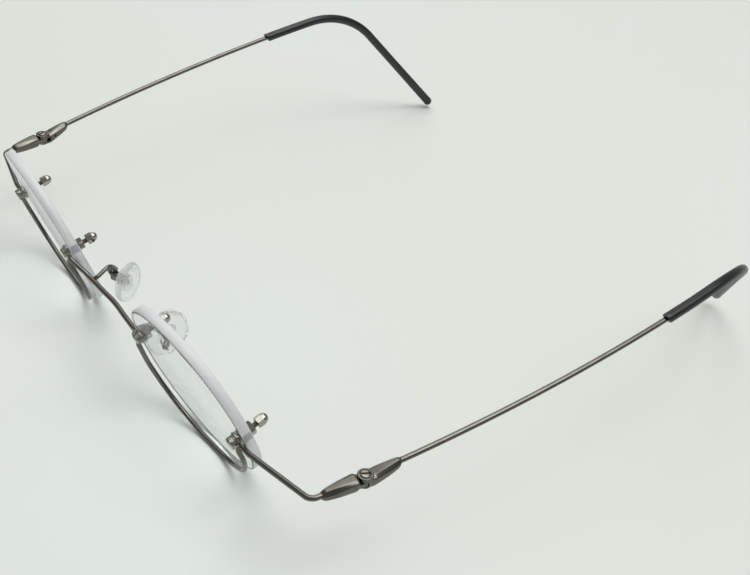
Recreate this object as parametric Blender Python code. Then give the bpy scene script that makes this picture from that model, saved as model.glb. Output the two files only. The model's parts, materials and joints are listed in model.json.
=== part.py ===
"""Rimless wire reading glasses, standing open on their rims and temple tips.

Metres, +Z up, +X towards the wearer's left, temples running back along +Y.
The left half is modelled and every piece of it has a mirrored twin.
"""

import math

import bmesh
import bpy
from mathutils import Matrix, Vector

MM = 0.001
DEG = math.pi / 180

# Lenses
LENS_WIDTH = 35.4 * MM
LENS_RISE = 18.4 * MM  # lens centre to top edge
LENS_DROP = 17.7 * MM  # lens centre to bottom edge
LENS_SQUARENESS = 2.2  # exponent of the outline, 2 is an ellipse
LENS_THICKNESS = 2.0 * MM
LENS_BULGE = 0.9 * MM  # how far the middle of the front stands forward
LENS_GAP = 27.3 * MM  # between the two nasal edges
LENS_TILT = 20.6 * DEG
LENS_WRAP = 3.4 * DEG
LENS_EDGE_CHAMFER = 0.15 * MM
HOLE_INSET_NASAL = 2.2 * MM  # hole centre to lens edge
HOLE_INSET_TEMPORAL = 2.3 * MM
HOLE_HEIGHT_NASAL = 4.4 * MM  # hole centre above lens centre
HOLE_HEIGHT_TEMPORAL = 1.2 * MM

# Lens fasteners, from the front to the back
SCREW_DIAMETER = 1.1 * MM
SCREW_HEAD_DIAMETER = 2.1 * MM
SCREW_HEAD_HEIGHT = 0.55 * MM
SCREW_SLOT_WIDTH = 0.32 * MM
SCREW_SLOT_DEPTH = 0.28 * MM
EYELET_DIAMETER = 2.5 * MM
EYELET_THICKNESS = 0.3 * MM
BOSS_DIAMETER = 3.0 * MM
BOSS_THICKNESS = 0.45 * MM
WASHER_DIAMETER = 2.8 * MM
WASHER_THICKNESS = 0.15 * MM
SLEEVE_WALL = 0.2 * MM
NUT_FLATS = 2.4 * MM
NUT_HEIGHT = 1.0 * MM
THREAD_SHOWN = 0.9 * MM
DOME_FLATS = 2.0 * MM
DOME_HEIGHT = 2.4 * MM
DOME_BORE_DEPTH = 1.3 * MM
SEAT_GAP = 0.04 * MM  # between faces that are clamped together
BORE_CLEARANCE = 0.05 * MM  # radial, shaft to bore

# Wires
WIRE_DIAMETER = 1.1 * MM
RIM_WIRE_DIAMETER = 1.0 * MM
RIM_INSET = 1.1 * MM  # rim wire centre inside the lens edge
RIM_LEAVES_BOSS = 62.0 * DEG  # below the horizontal
BRIDGE_LEAVES_BOSS = 24.0 * DEG  # below the horizontal
BRIDGE_STRAIGHT = 1.2 * MM  # straight run past the lens edge
BRIDGE_DIP = 3.1 * MM  # nasal ends down to the level run
BRIDGE_SET_BACK = 2.2 * MM  # level run behind the nasal ends
BRIDGE_SHOULDER = 1.9 * MM  # width of the bend into the level run
BRIDGE_SHOULDER_RISE = 0.75 * MM
BRIDGE_BOW = 0.5 * MM  # middle of the level run behind its ends

# Hinges
HINGE_SPACING = 133.7 * MM  # between the two hinge axes
HINGE_BACK = 17.2 * MM  # hinge axis behind the nasal screw heads
HINGE_HEIGHT = 18.5 * MM  # middle of the knuckle above the table
HINGE_SPLAY = 8.4 * DEG  # outward lean of both hinge blocks
BLOCK_WIDTH = 2.9 * MM
BLOCK_HEIGHT = 2.6 * MM
BLOCK_CLIMB = 20.0 * DEG  # rise of the temple block's middle line
BLOCK_DIP = 5.2 * DEG  # fall of the front block's middle line
BLOCK_NOSE = 1.6 * MM  # width and height where the wire enters
BLOCK_FRONT_REACH = 8.3 * MM  # hinge axis to the front block's nose
BLOCK_REAR_REACH = 6.8 * MM  # hinge axis to the temple block's nose
CORNER_REACH = 10.3 * MM  # hinge axis to the end piece's corner
CORNER_RADIUS = 1.8 * MM
EAR_RADIUS = 1.5 * MM
KNUCKLE_GAP = 0.12 * MM  # front block's end face to the ears
TONGUE_RADIUS = 1.35 * MM
TONGUE_THICKNESS = 0.9 * MM
TONGUE_CLEARANCE = 0.05 * MM
HINGE_SCREW_DIAMETER = 0.9 * MM
HINGE_HEAD_DIAMETER = 1.9 * MM
HINGE_HEAD_HEIGHT = 0.4 * MM
HINGE_HEAD_SUNK = 0.25 * MM
WIRE_SOCKET_DEPTH = 1.3 * MM
SIDE_HOLE_DIAMETER = 0.6 * MM
SIDE_HOLE_DEPTH = 0.5 * MM
SIDE_HOLE_BACK = 2.9 * MM

# Temples
TEMPLE_CLIMB = 10.1 * DEG
TEMPLE_BEND_AT = 95.6 * MM  # hinge axis to the ear bend
TEMPLE_LEG = 49.4 * MM  # ear bend to the tip
TEMPLE_BEND_RADIUS = 24.3 * MM
TEMPLE_TOE_IN_RIGHT = 6.2 * DEG  # leg against the glasses' own length
TEMPLE_TOE_IN_LEFT = 33.2 * DEG  # this leg was bent further in
TIP_LIFT_RIGHT = 0.0  # tip above the table
TIP_LIFT_LEFT = 2.0 * MM
TEMPLE_BOW_RADIUS = 440.0 * MM  # outward bow, seen from above
SLEEVE_START = 69.2 * MM
SLEEVE_DIAMETER = 2.3 * MM
SLEEVE_END_DIAMETER = 2.6 * MM
SLEEVE_MOUTH_SLANT = 0.6 * MM
SLEEVE_SOCKET = 8.0 * MM

# Nose pads
PAD_SPACING = 18.0 * MM  # between the two pad centres
PAD_BACK = 11.2 * MM
PAD_HEIGHT = 13.4 * MM
PAD_LENGTH = 10.0 * MM
PAD_WIDTH = 7.4 * MM
PAD_THICKNESS = 1.6 * MM
PAD_SPLAY = 21.0 * DEG
PAD_LEAN = 4.0 * DEG
INSERT_LENGTH = 3.6 * MM
INSERT_WIDTH = 2.4 * MM
INSERT_THICKNESS = 0.35 * MM
LUG_THICKNESS = 0.8 * MM
LUG_RADIUS = 0.62 * MM
LUG_REACH = 2.3 * MM  # pin axis to the insert plate
PAD_PIN_DIAMETER = 0.6 * MM
PAD_BOX_WALL = 0.35 * MM
PAD_BOX_HEIGHT = 1.7 * MM
PAD_BOX_MOUTH = 0.7 * MM  # cheeks beyond the pin axis
PAD_ARM_DIAMETER = 0.9 * MM
PAD_ARM_LEAVES = 9.4 * MM  # from the middle of the bridge, half its level run
PAD_ARM_RISE = 4.35 * MM  # crown of the arm above the pin
PAD_ARM_FORWARD = 2.35 * MM  # crown in front of the pin
PAD_ARM_INWARD = 1.75 * MM
PAD_ARM_ELBOW = 1.9 * MM  # where the arm turns outwards, above the pin

ROUND = 16
EAR_SIDES = 24
SMALL_ROUND = 12
WIRE_SIDES = 10
MIRROR = Matrix.Scale(-1, 4, (1, 0, 0))

# Depths behind the front face of the screw heads
EYELET_DEPTH = SCREW_HEAD_HEIGHT + SEAT_GAP
BOSS_DEPTH = EYELET_DEPTH + EYELET_THICKNESS + SEAT_GAP
WASHER_DEPTH = BOSS_DEPTH + BOSS_THICKNESS + SEAT_GAP
LENS_DEPTH = WASHER_DEPTH + WASHER_THICKNESS + SEAT_GAP
REAR_WASHER_DEPTH = LENS_DEPTH + LENS_THICKNESS + SEAT_GAP
NUT_DEPTH = REAR_WASHER_DEPTH + WASHER_THICKNESS + SEAT_GAP
DOME_DEPTH = NUT_DEPTH + NUT_HEIGHT + THREAD_SHOWN
SCREW_LENGTH = DOME_DEPTH + DOME_BORE_DEPTH - 2 * BORE_CLEARANCE
RIM_WIRE_DEPTH = EYELET_DEPTH + EYELET_THICKNESS - RIM_WIRE_DIAMETER / 2 - SEAT_GAP
FRAME_WIRE_DEPTH = LENS_DEPTH - WIRE_DIAMETER / 2 - 3 * SEAT_GAP


def clear_scene():
    for item in list(bpy.data.objects):
        bpy.data.objects.remove(item, do_unlink=True)


def make_material(name, color, metallic, roughness, transmission=0.0):
    material = bpy.data.materials.new(name)
    material.use_nodes = True
    shader = material.node_tree.nodes["Principled BSDF"]
    shader.inputs["Base Color"].default_value = (*color, 1.0)
    shader.inputs["Metallic"].default_value = metallic
    shader.inputs["Roughness"].default_value = roughness
    shader.inputs["Transmission Weight"].default_value = transmission
    return material


def join_rings(bm, lower, upper):
    # Two rings of equal count, or a ring and a single point.
    count = max(len(lower), len(upper))
    for i in range(count):
        k = (i + 1) % count
        corners = [lower[i % len(lower)], lower[k % len(lower)]]
        corners += [upper[k % len(upper)], upper[i % len(upper)]]
        unique = list(dict.fromkeys(corners))
        bm.faces.new(unique)


def cap_ring(bm, ring):
    if len(ring) > 1:
        bm.faces.new(ring)


def settle(bm):
    bmesh.ops.recalc_face_normals(bm, faces=bm.faces[:])
    return bm


def turned(profile, sides, closed=False):
    # Profile of (radius, height) pairs about the local Z axis.
    bm = bmesh.new()
    rings = []
    for radius, height in profile:
        turns = [2 * math.pi * i / sides for i in range(sides)]
        points = [(radius * math.cos(a), radius * math.sin(a), height) for a in turns]
        if radius == 0:
            points = points[:1]
        rings.append([bm.verts.new(p) for p in points])
    for lower, upper in zip(rings, rings[1:]):
        join_rings(bm, lower, upper)
    if closed:
        join_rings(bm, rings[-1], rings[0])
    else:
        cap_ring(bm, rings[0])
        cap_ring(bm, rings[-1])
    return settle(bm)


def disc(radius, low, high, sides=ROUND):
    return turned([(radius, low), (radius, high)], sides)


def ring(outer, inner, low, high, sides=ROUND):
    profile = [(outer, low), (outer, high), (inner, high), (inner, low)]
    return turned(profile, sides, closed=True)


def block(low, high):
    bm = bmesh.new()
    size = Vector(high) - Vector(low)
    middle = (Vector(high) + Vector(low)) / 2
    place = Matrix.Translation(middle) @ Matrix.Diagonal((*size, 1))
    bmesh.ops.create_cube(bm, size=1.0, matrix=place)
    return settle(bm)


def lofted(sections):
    bm = bmesh.new()
    rings = [[bm.verts.new(p) for p in section] for section in sections]
    for lower, upper in zip(rings, rings[1:]):
        join_rings(bm, lower, upper)
    cap_ring(bm, rings[0])
    cap_ring(bm, rings[-1])
    return settle(bm)


def swept(points, radii, sides=WIRE_SIDES):
    # A round bar along a path, its rings carried on without twisting.
    last = len(points) - 1
    tangents = []
    for i in range(len(points)):
        ahead = points[min(i + 1, last)]
        behind = points[max(i - 1, 0)]
        tangents.append((ahead - behind).normalized())
    side = tangents[0].orthogonal().normalized()
    sections = []
    for i, point in enumerate(points):
        if i:
            side.rotate(tangents[i - 1].rotation_difference(tangents[i]))
        other = tangents[i].cross(side)
        section = []
        for k in range(sides):
            turn = 2 * math.pi * k / sides
            section.append(point + radii[i] * (side * math.cos(turn) + other * math.sin(turn)))
        sections.append(section)
    return lofted(sections)


def smooth_path(knots, steps):
    # Catmull-Rom curve through the knots.
    padded = [2 * knots[0] - knots[1]] + knots + [2 * knots[-1] - knots[-2]]
    points = []
    for i in range(len(knots) - 1):
        p0, p1, p2, p3 = padded[i : i + 4]
        for k in range(steps):
            t = k / steps
            bend = 2 * p0 - 5 * p1 + 4 * p2 - p3
            twist = 3 * p1 - p0 - 3 * p2 + p3
            points.append((2 * p1 + (p2 - p0) * t + bend * t**2 + twist * t**3) / 2)
    points.append(knots[-1])
    return points


def fillet_path(start, corner, end, radius, steps):
    # Two straight runs joined by an arc tangent to both.
    first = (start - corner).normalized()
    second = (end - corner).normalized()
    half = first.angle(second) / 2
    reach = radius / math.tan(half)
    centre = corner + (first + second).normalized() * (radius / math.sin(half))
    begin = corner + first * reach
    turn = math.pi - 2 * half
    axis = first.cross(second).normalized()
    points = [start]
    for k in range(steps + 1):
        spin = Matrix.Rotation(-turn * k / steps, 3, axis)
        points.append(centre + spin @ (begin - centre))
    points.append(end)
    return points


def place_on(origin, x_axis, z_axis):
    y_axis = z_axis.cross(x_axis)
    turn = Matrix((x_axis, y_axis, z_axis)).transposed().to_4x4()
    return Matrix.Translation(origin) @ turn


def edge_half_width(height):
    limit = LENS_RISE if height > 0 else LENS_DROP
    share = 1 - (abs(height) / limit) ** LENS_SQUARENESS
    return LENS_WIDTH / 2 * share ** (1 / LENS_SQUARENESS)


def lens_outline(turn, inset=0.0):
    c = math.cos(turn)
    s = math.sin(turn)
    power = 2 / LENS_SQUARENESS
    limit = LENS_RISE if s > 0 else LENS_DROP
    x = (LENS_WIDTH / 2 - inset) * math.copysign(abs(c) ** power, c)
    y = (limit - inset) * math.copysign(abs(s) ** power, s)
    return Vector((x, y, 0))


# Places on the left lens, seen in its own plane
NASAL_HOLE = Vector((HOLE_INSET_NASAL - edge_half_width(HOLE_HEIGHT_NASAL), HOLE_HEIGHT_NASAL, 0))
TEMPORAL_HOLE = Vector((edge_half_width(HOLE_HEIGHT_TEMPORAL) - HOLE_INSET_TEMPORAL, HOLE_HEIGHT_TEMPORAL, 0))
HOLES = {"nasal": NASAL_HOLE, "temporal": TEMPORAL_HOLE}

# The lens plane: X outwards, Y up the lens, Z to the front, zero at the screw heads' faces
LENS_ACROSS = Vector((math.cos(LENS_WRAP), math.sin(LENS_WRAP), 0))
LENS_BACKWARDS = Vector(
    (
        -math.sin(LENS_WRAP) * math.cos(LENS_TILT),
        math.cos(LENS_WRAP) * math.cos(LENS_TILT),
        math.sin(LENS_TILT),
    )
)
LENS_UP = LENS_ACROSS.cross(LENS_BACKWARDS)
LENS_CENTRE_X = LENS_GAP / 2 + LENS_WIDTH / 2 * math.cos(LENS_WRAP)
# Each rim stands on the table at its lowest point
LENS_CENTRE_Z = LENS_DROP * math.cos(LENS_TILT) - LENS_DEPTH * math.sin(LENS_TILT)
LENS_CENTRE_Y = -(LENS_ACROSS * NASAL_HOLE.x + LENS_UP * NASAL_HOLE.y).y
LENS_PLANE = place_on(
    Vector((LENS_CENTRE_X, LENS_CENTRE_Y, LENS_CENTRE_Z)), LENS_ACROSS, -LENS_BACKWARDS
)

# The hinge axis, and the two blocks' own frames about it
HINGE_PLACE = Matrix.Translation((HINGE_SPACING / 2, HINGE_BACK, HINGE_HEIGHT))
BLOCK_FRAME = HINGE_PLACE @ Matrix.Rotation(-HINGE_SPLAY, 4, "Z")
TEMPLE_FRAME = Matrix.Rotation(-HINGE_SPLAY, 4, "Z")

# The pad: Z towards the nose, Y up the pad, X across it, zero at the pin
PAD_FACE = Vector(
    (
        -math.cos(PAD_SPLAY) * math.cos(PAD_LEAN),
        math.sin(PAD_SPLAY),
        -math.cos(PAD_SPLAY) * math.sin(PAD_LEAN),
    )
)
PAD_UP = (Vector((0, 0, 1)) - PAD_FACE * PAD_FACE.z).normalized()
PAD_ACROSS = PAD_UP.cross(PAD_FACE)
PAD_SEAT = LUG_REACH + INSERT_THICKNESS + SEAT_GAP
PAD_CENTRE = Vector((PAD_SPACING / 2, PAD_BACK, PAD_HEIGHT))
PAD_PIN = PAD_CENTRE - PAD_FACE * (PAD_SEAT + PAD_THICKNESS / 2)
PAD_PLACE = place_on(PAD_PIN, PAD_ACROSS, PAD_FACE)
LUG_GAP = LUG_THICKNESS / 2 + BORE_CLEARANCE
PAD_BOX_WIDTH = LUG_GAP + PAD_BOX_WALL  # half of it
PAD_BOX_FLOOR = LUG_RADIUS + 2 * BORE_CLEARANCE

clear_scene()
glasses = bpy.data.objects.new("glasses", None)
bpy.context.collection.objects.link(glasses)

STEEL = ((0.30, 0.29, 0.28), 1.0, 0.3)
SILVER = ((0.62, 0.60, 0.57), 1.0, 0.22)
CLEAR = ((0.92, 0.93, 0.94), 0.0, 0.12, 0.9)
SILICONE = ((0.93, 0.94, 0.94), 0.0, 0.25, 0.85)
BLACK = ((0.012, 0.014, 0.018), 0.0, 0.45)
materials = {}


def material_for(name, look):
    materials[name] = make_material(name, *look)
    return materials[name]


def add_object(name, bm, look, place, parent):
    mesh = bpy.data.meshes.new(name)
    bm.to_mesh(mesh)
    bm.free()
    mesh.shade_smooth()
    mesh.set_sharp_from_angle(angle=35 * DEG)
    mesh.materials.append(material_for(name, look))
    item = bpy.data.objects.new(name, mesh)
    bpy.context.collection.objects.link(item)
    item.parent = parent
    item.matrix_basis = place
    return item


def combine(item, bm, operation):
    # One Boolean in the piece's own frame, applied at once.
    mesh = bpy.data.meshes.new("cutter")
    bm.to_mesh(mesh)
    bm.free()
    cutter = bpy.data.objects.new("cutter", mesh)
    cutter.hide_render = True
    cutter.display_type = "WIRE"
    bpy.context.collection.objects.link(cutter)
    kept_place = item.matrix_basis.copy()
    kept_parent = item.parent
    item.parent = None
    item.matrix_basis = Matrix.Identity(4)
    step = item.modifiers.new("cut", "BOOLEAN")
    step.operation = operation
    step.object = cutter
    step.solver = "EXACT"
    graph = bpy.context.evaluated_depsgraph_get()
    graph.update()
    result = bpy.data.meshes.new_from_object(item.evaluated_get(graph))
    item.modifiers.clear()
    old = item.data
    item.data = result
    result.name = old.name
    bpy.data.meshes.remove(old)
    bpy.data.objects.remove(cutter, do_unlink=True)
    item.parent = kept_parent
    item.matrix_basis = kept_place
    return item


def cut(item, bm):
    return combine(item, bm, "DIFFERENCE")


def fuse(item, bm):
    return combine(item, bm, "UNION")


def moved(bm, place):
    bmesh.ops.transform(bm, matrix=place, verts=bm.verts[:])
    return bm


def add_pivot(name, place):
    pivot = bpy.data.objects.new(name, None)
    pivot.empty_display_size = 4 * MM
    bpy.context.collection.objects.link(pivot)
    pivot.parent = glasses
    pivot.matrix_basis = place
    return pivot


def mirror_twin(item, name, parent):
    mesh = item.data.copy()
    mesh.transform(MIRROR)
    mesh.flip_normals()
    mesh.materials.clear()
    look = item.data.materials[0]
    copy = look.copy()
    copy.name = name
    mesh.materials.append(copy)
    twin = bpy.data.objects.new(name, mesh)
    bpy.context.collection.objects.link(twin)
    twin.parent = parent
    twin.matrix_basis = MIRROR @ item.matrix_basis @ MIRROR
    return twin


def on_lens(point, depth):
    return LENS_PLANE @ Matrix.Translation((point.x, point.y, -depth))


# Lens: two domed faces joined by the ground edge, with a drilled hole at each end
def lens_solid():
    turns = 52
    shares = (0.45, 0.8)
    flat_from = min(abs(NASAL_HOLE.x), TEMPORAL_HOLE.x) - WASHER_DIAMETER / 2
    bm = bmesh.new()

    def bulge(point):
        share = min(point.length / flat_from, 1.0)
        return LENS_BULGE * (1 - share**2) ** 2

    def face_rings(height):
        rings = [[bm.verts.new((0, 0, height + LENS_BULGE))]]
        for share in shares:
            outline = [lens_outline(2 * math.pi * i / turns) * share for i in range(turns)]
            rings.append([bm.verts.new((p.x, p.y, height + bulge(p))) for p in outline])
        return rings

    front = face_rings(0)
    back = face_rings(-LENS_THICKNESS)

    def edge_ring(inset, height):
        outline = [lens_outline(2 * math.pi * i / turns, inset) for i in range(turns)]
        return [bm.verts.new((p.x, p.y, height)) for p in outline]

    edge = [
        edge_ring(LENS_EDGE_CHAMFER, 0),
        edge_ring(0, -LENS_EDGE_CHAMFER),
        edge_ring(0, LENS_EDGE_CHAMFER - LENS_THICKNESS),
        edge_ring(LENS_EDGE_CHAMFER, -LENS_THICKNESS),
    ]
    loops = front + edge + back[::-1]
    for lower, upper in zip(loops, loops[1:]):
        join_rings(bm, lower, upper)
    return settle(bm)


def make_lens():
    lens = add_object("lens_left", lens_solid(), CLEAR, on_lens(Vector((0, 0, 0)), LENS_DEPTH), glasses)
    radius = SCREW_DIAMETER / 2 + SLEEVE_WALL + 2 * BORE_CLEARANCE
    for hole in HOLES.values():
        drill = moved(disc(radius, -2 * LENS_THICKNESS, LENS_THICKNESS), Matrix.Translation(hole))
        cut(lens, drill)
    return lens


# Lens screw: slotted head in front, plain shank through to the cap nut
def make_lens_screw(end, hole):
    head = SCREW_HEAD_DIAMETER / 2
    shank = SCREW_DIAMETER / 2
    edge = 0.12 * MM
    profile = [
        (shank - edge, -SCREW_LENGTH),
        (shank, edge - SCREW_LENGTH),
        (shank, -SCREW_HEAD_HEIGHT),
        (head, -SCREW_HEAD_HEIGHT),
        (head, -edge),
        (head - edge, 0),
    ]
    screw = add_object(f"lens_screw_{end}_left", turned(profile, ROUND), SILVER, on_lens(hole, 0), glasses)
    half = SCREW_SLOT_WIDTH / 2
    slot = block((-half, -head * 2, -SCREW_SLOT_DEPTH), (half, head * 2, SCREW_SLOT_DEPTH))
    return cut(screw, slot)


def make_washer(end, hole, side, depth):
    bore = SCREW_DIAMETER / 2 + BORE_CLEARANCE
    solid = ring(WASHER_DIAMETER / 2, bore, -WASHER_THICKNESS, 0)
    return add_object(f"washer_{side}_{end}_left", solid, CLEAR, on_lens(hole, depth), glasses)


# Plastic bush that lines the drilled hole
def make_sleeve(end, hole):
    bore = SCREW_DIAMETER / 2 + BORE_CLEARANCE
    solid = ring(bore + SLEEVE_WALL, bore, -LENS_THICKNESS, 0)
    return add_object(f"hole_bush_{end}_left", solid, CLEAR, on_lens(hole, LENS_DEPTH), glasses)


def hexagon(flats, low, high):
    return turned([(flats / math.sqrt(3), low), (flats / math.sqrt(3), high)], 6)


def make_hex_nut(end, hole):
    nut = add_object(
        f"hex_nut_{end}_left", hexagon(NUT_FLATS, -NUT_HEIGHT, 0), SILVER, on_lens(hole, NUT_DEPTH), glasses
    )
    bore = SCREW_DIAMETER / 2 + BORE_CLEARANCE
    return cut(nut, disc(bore, -2 * NUT_HEIGHT, NUT_HEIGHT))


# Cap nut: a hexagon skirt that runs into a dome, bored from its open end
def make_dome_nut(end, hole):
    radius = DOME_FLATS / 2
    skirt = DOME_HEIGHT - radius
    nut = add_object(
        f"dome_nut_{end}_left", hexagon(DOME_FLATS, -skirt, 0), SILVER, on_lens(hole, DOME_DEPTH), glasses
    )
    steps = 4
    arc = [i * math.pi / 2 / steps for i in range(steps)]
    profile = [(0, -DOME_HEIGHT)]
    profile += [(radius * math.cos(a), -skirt - radius * math.sin(a)) for a in reversed(arc)]
    profile += [(radius, -skirt / 2)]
    fuse(nut, turned(profile, ROUND))
    bore = SCREW_DIAMETER / 2 + BORE_CLEARANCE
    return cut(nut, disc(bore, -DOME_BORE_DEPTH, DOME_HEIGHT))


# Rim wire: hangs from a thin eyelet at each end, in front of the lens
def make_rim_wire():
    clear_of_head = SCREW_HEAD_DIAMETER / 2 + 2 * BORE_CLEARANCE
    down_out = Vector((math.cos(RIM_LEAVES_BOSS), -math.sin(RIM_LEAVES_BOSS), 0))
    down_in = Vector((-math.cos(RIM_LEAVES_BOSS), -math.sin(RIM_LEAVES_BOSS), 0))
    knots = [TEMPORAL_HOLE + down_out * clear_of_head]
    count = 15
    first = -10 * DEG
    last = -170 * DEG
    for i in range(count):
        knots.append(lens_outline(first + (last - first) * i / (count - 1), RIM_INSET))
    knots.append(NASAL_HOLE + down_in * clear_of_head)
    points = smooth_path(knots, 3)
    lift = Vector((0, 0, EYELET_DEPTH - RIM_WIRE_DEPTH))
    points = [p + lift for p in points]
    radii = [RIM_WIRE_DIAMETER / 2] * len(points)
    wire = add_object("rim_wire_left", swept(points, radii, 8), STEEL, on_lens(Vector((0, 0, 0)), EYELET_DEPTH), glasses)
    for hole in HOLES.values():
        spot = Matrix.Translation(hole)
        fuse(wire, moved(disc(EYELET_DIAMETER / 2, -EYELET_THICKNESS, 0), spot))
        bore = SCREW_DIAMETER / 2 + BORE_CLEARANCE
        cut(wire, moved(disc(bore, -2 * EYELET_THICKNESS, EYELET_THICKNESS), spot))
    return wire


def boss_with_tab(hole, direction):
    # Eyelet disc on the lens plane and the flattened wire end that leaves it.
    spot = Matrix.Translation((hole.x, hole.y, -BOSS_DEPTH))
    angle = math.atan2(direction.y, direction.x)
    turn = Matrix.Rotation(angle, 4, "Z")
    half = WIRE_DIAMETER * 0.45
    tab = block((0, -half, -BOSS_THICKNESS * 0.95), (BOSS_DIAMETER * 0.75, half, -BOSS_THICKNESS * 0.05))
    return (
        moved(disc(BOSS_DIAMETER / 2, -BOSS_THICKNESS, 0), spot),
        moved(tab, spot @ turn),
        moved(disc(SCREW_DIAMETER / 2 + BORE_CLEARANCE, -2 * BOSS_THICKNESS, BOSS_THICKNESS), spot),
    )


def wire_start(hole, direction):
    # Where a frame wire begins beside its boss, in front of the lens.
    clear = EYELET_DIAMETER / 2 + 2 * BORE_CLEARANCE
    place = hole + direction * clear
    return Vector((place.x, place.y, -FRAME_WIRE_DEPTH))


# End piece: boss on the temporal screw, wire out past the lens and back into the hinge
def make_end_piece():
    to_lens = LENS_PLANE.inverted()
    socket = WIRE_SOCKET_DEPTH - BLOCK_FRONT_REACH - SEAT_GAP
    corner = to_lens @ (BLOCK_FRAME @ Vector((0, -CORNER_REACH, dip_line(-CORNER_REACH))))
    heel = to_lens @ (BLOCK_FRAME @ Vector((0, socket, dip_line(socket))))
    out = Vector((corner.x - TEMPORAL_HOLE.x, corner.y - TEMPORAL_HOLE.y, 0)).normalized()
    start = wire_start(TEMPORAL_HOLE, out)
    clear_edge = start + out * (HOLE_INSET_TEMPORAL + 0.5 * WIRE_DIAMETER)
    bend = fillet_path(clear_edge, corner, heel, CORNER_RADIUS, 6)
    points = [start] + bend
    radii = [WIRE_DIAMETER / 2] * len(points)
    piece = add_object("endpiece_left", swept(points, radii), STEEL, LENS_PLANE, glasses)
    plate, tab, bore = boss_with_tab(TEMPORAL_HOLE, out)
    fuse(piece, plate)
    fuse(piece, tab)
    return cut(piece, bore)


# Bridge: one wire that dips between the two nasal bosses
def bridge_path():
    inward = Vector((-math.cos(BRIDGE_LEAVES_BOSS), -math.sin(BRIDGE_LEAVES_BOSS), 0))
    start = wire_start(NASAL_HOLE, inward)
    clear_edge = LENS_PLANE @ (start + inward * BRIDGE_STRAIGHT)
    start = LENS_PLANE @ start
    back = start.y + BRIDGE_SET_BACK
    level = start.z - BRIDGE_DIP
    shoulder = PAD_ARM_LEAVES + BRIDGE_SHOULDER
    half = [
        start,
        clear_edge,
        Vector((shoulder, back - BRIDGE_SET_BACK / 4, level + BRIDGE_SHOULDER_RISE)),
        Vector((PAD_ARM_LEAVES, back, level)),
        Vector((PAD_ARM_LEAVES / 2, back + BRIDGE_BOW / 2, level)),
    ]
    other = [Vector((-p.x, p.y, p.z)) for p in reversed(half)]
    return inward, half + [Vector((0, back + BRIDGE_BOW, level))] + other


def make_bridge():
    inward, knots = bridge_path()
    points = smooth_path(knots, 3)
    radii = [WIRE_DIAMETER / 2] * len(points)
    bridge = add_object("bridge", swept(points, radii), STEEL, Matrix.Identity(4), glasses)
    plate, tab, bore = boss_with_tab(NASAL_HOLE, inward)
    solids = [(plate, fuse), (tab, fuse), (bore, cut)]
    for solid, action in solids:
        moved(solid, LENS_PLANE)
        twin = solid.copy()
        moved(twin, MIRROR)
        bmesh.ops.reverse_faces(twin, faces=twin.faces[:])
        action(bridge, twin)
        action(bridge, solid)
    return bridge


# Hinge blocks: torpedo shapes with flat top and bottom facets and eased sides
def facet_section(y, width, height, lift):
    sides = ((0.36, 0.5), (0.46, 0.3), (0.5, 0.0), (0.46, -0.3), (0.36, -0.5))
    right = [(width * x, height * z) for x, z in sides]
    left = [(-x, z) for x, z in reversed(right)]
    return [Vector((x, y, z + lift)) for x, z in right + left]


def climb_line(y):
    # The temple block's middle line: level through the ears, then rising.
    return max(y - EAR_RADIUS, 0) * math.tan(BLOCK_CLIMB)


def dip_line(y):
    # The front block's middle line: falling from the ears to its nose.
    return -max(-y - EAR_RADIUS, 0) * math.tan(BLOCK_DIP)


def block_loft(nose, heel, lift):
    steps = 7
    sections = []
    for i in range(steps + 1):
        share = i / steps
        swell = math.sin(math.pi / 2 * share**0.75)
        y = nose + (heel - nose) * share
        width = BLOCK_NOSE + (BLOCK_WIDTH - BLOCK_NOSE) * swell
        height = BLOCK_NOSE + (BLOCK_HEIGHT - BLOCK_NOSE) * swell
        sections.append(facet_section(y, width, height, lift(y)))
    return lofted(sections)


def wire_socket(mouth, direction):
    # Blind bore for a wire, from just outside the mouth.
    place = place_on(mouth, direction.orthogonal().normalized(), direction)
    radius = WIRE_DIAMETER / 2 + BORE_CLEARANCE
    return moved(disc(radius, -WIRE_SOCKET_DEPTH, WIRE_SOCKET_DEPTH, SMALL_ROUND), place)


def make_front_block():
    heel = -(EAR_RADIUS + KNUCKLE_GAP)
    piece = add_object("hinge_block_left", block_loft(-BLOCK_FRONT_REACH, heel, dip_line), STEEL, BLOCK_FRAME, glasses)
    half = TONGUE_THICKNESS / 2
    fuse(piece, block((-TONGUE_RADIUS, heel - 0.5 * MM, -half), (TONGUE_RADIUS, 0, half)))
    fuse(piece, disc(TONGUE_RADIUS, -half, half))
    cut(piece, disc(HINGE_SCREW_DIAMETER / 2 + BORE_CLEARANCE, -BLOCK_HEIGHT, BLOCK_HEIGHT))
    mouth = Vector((0, -BLOCK_FRONT_REACH, dip_line(-BLOCK_FRONT_REACH)))
    return cut(piece, wire_socket(mouth, Vector((0, -math.cos(BLOCK_DIP), -math.sin(BLOCK_DIP)))))


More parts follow.
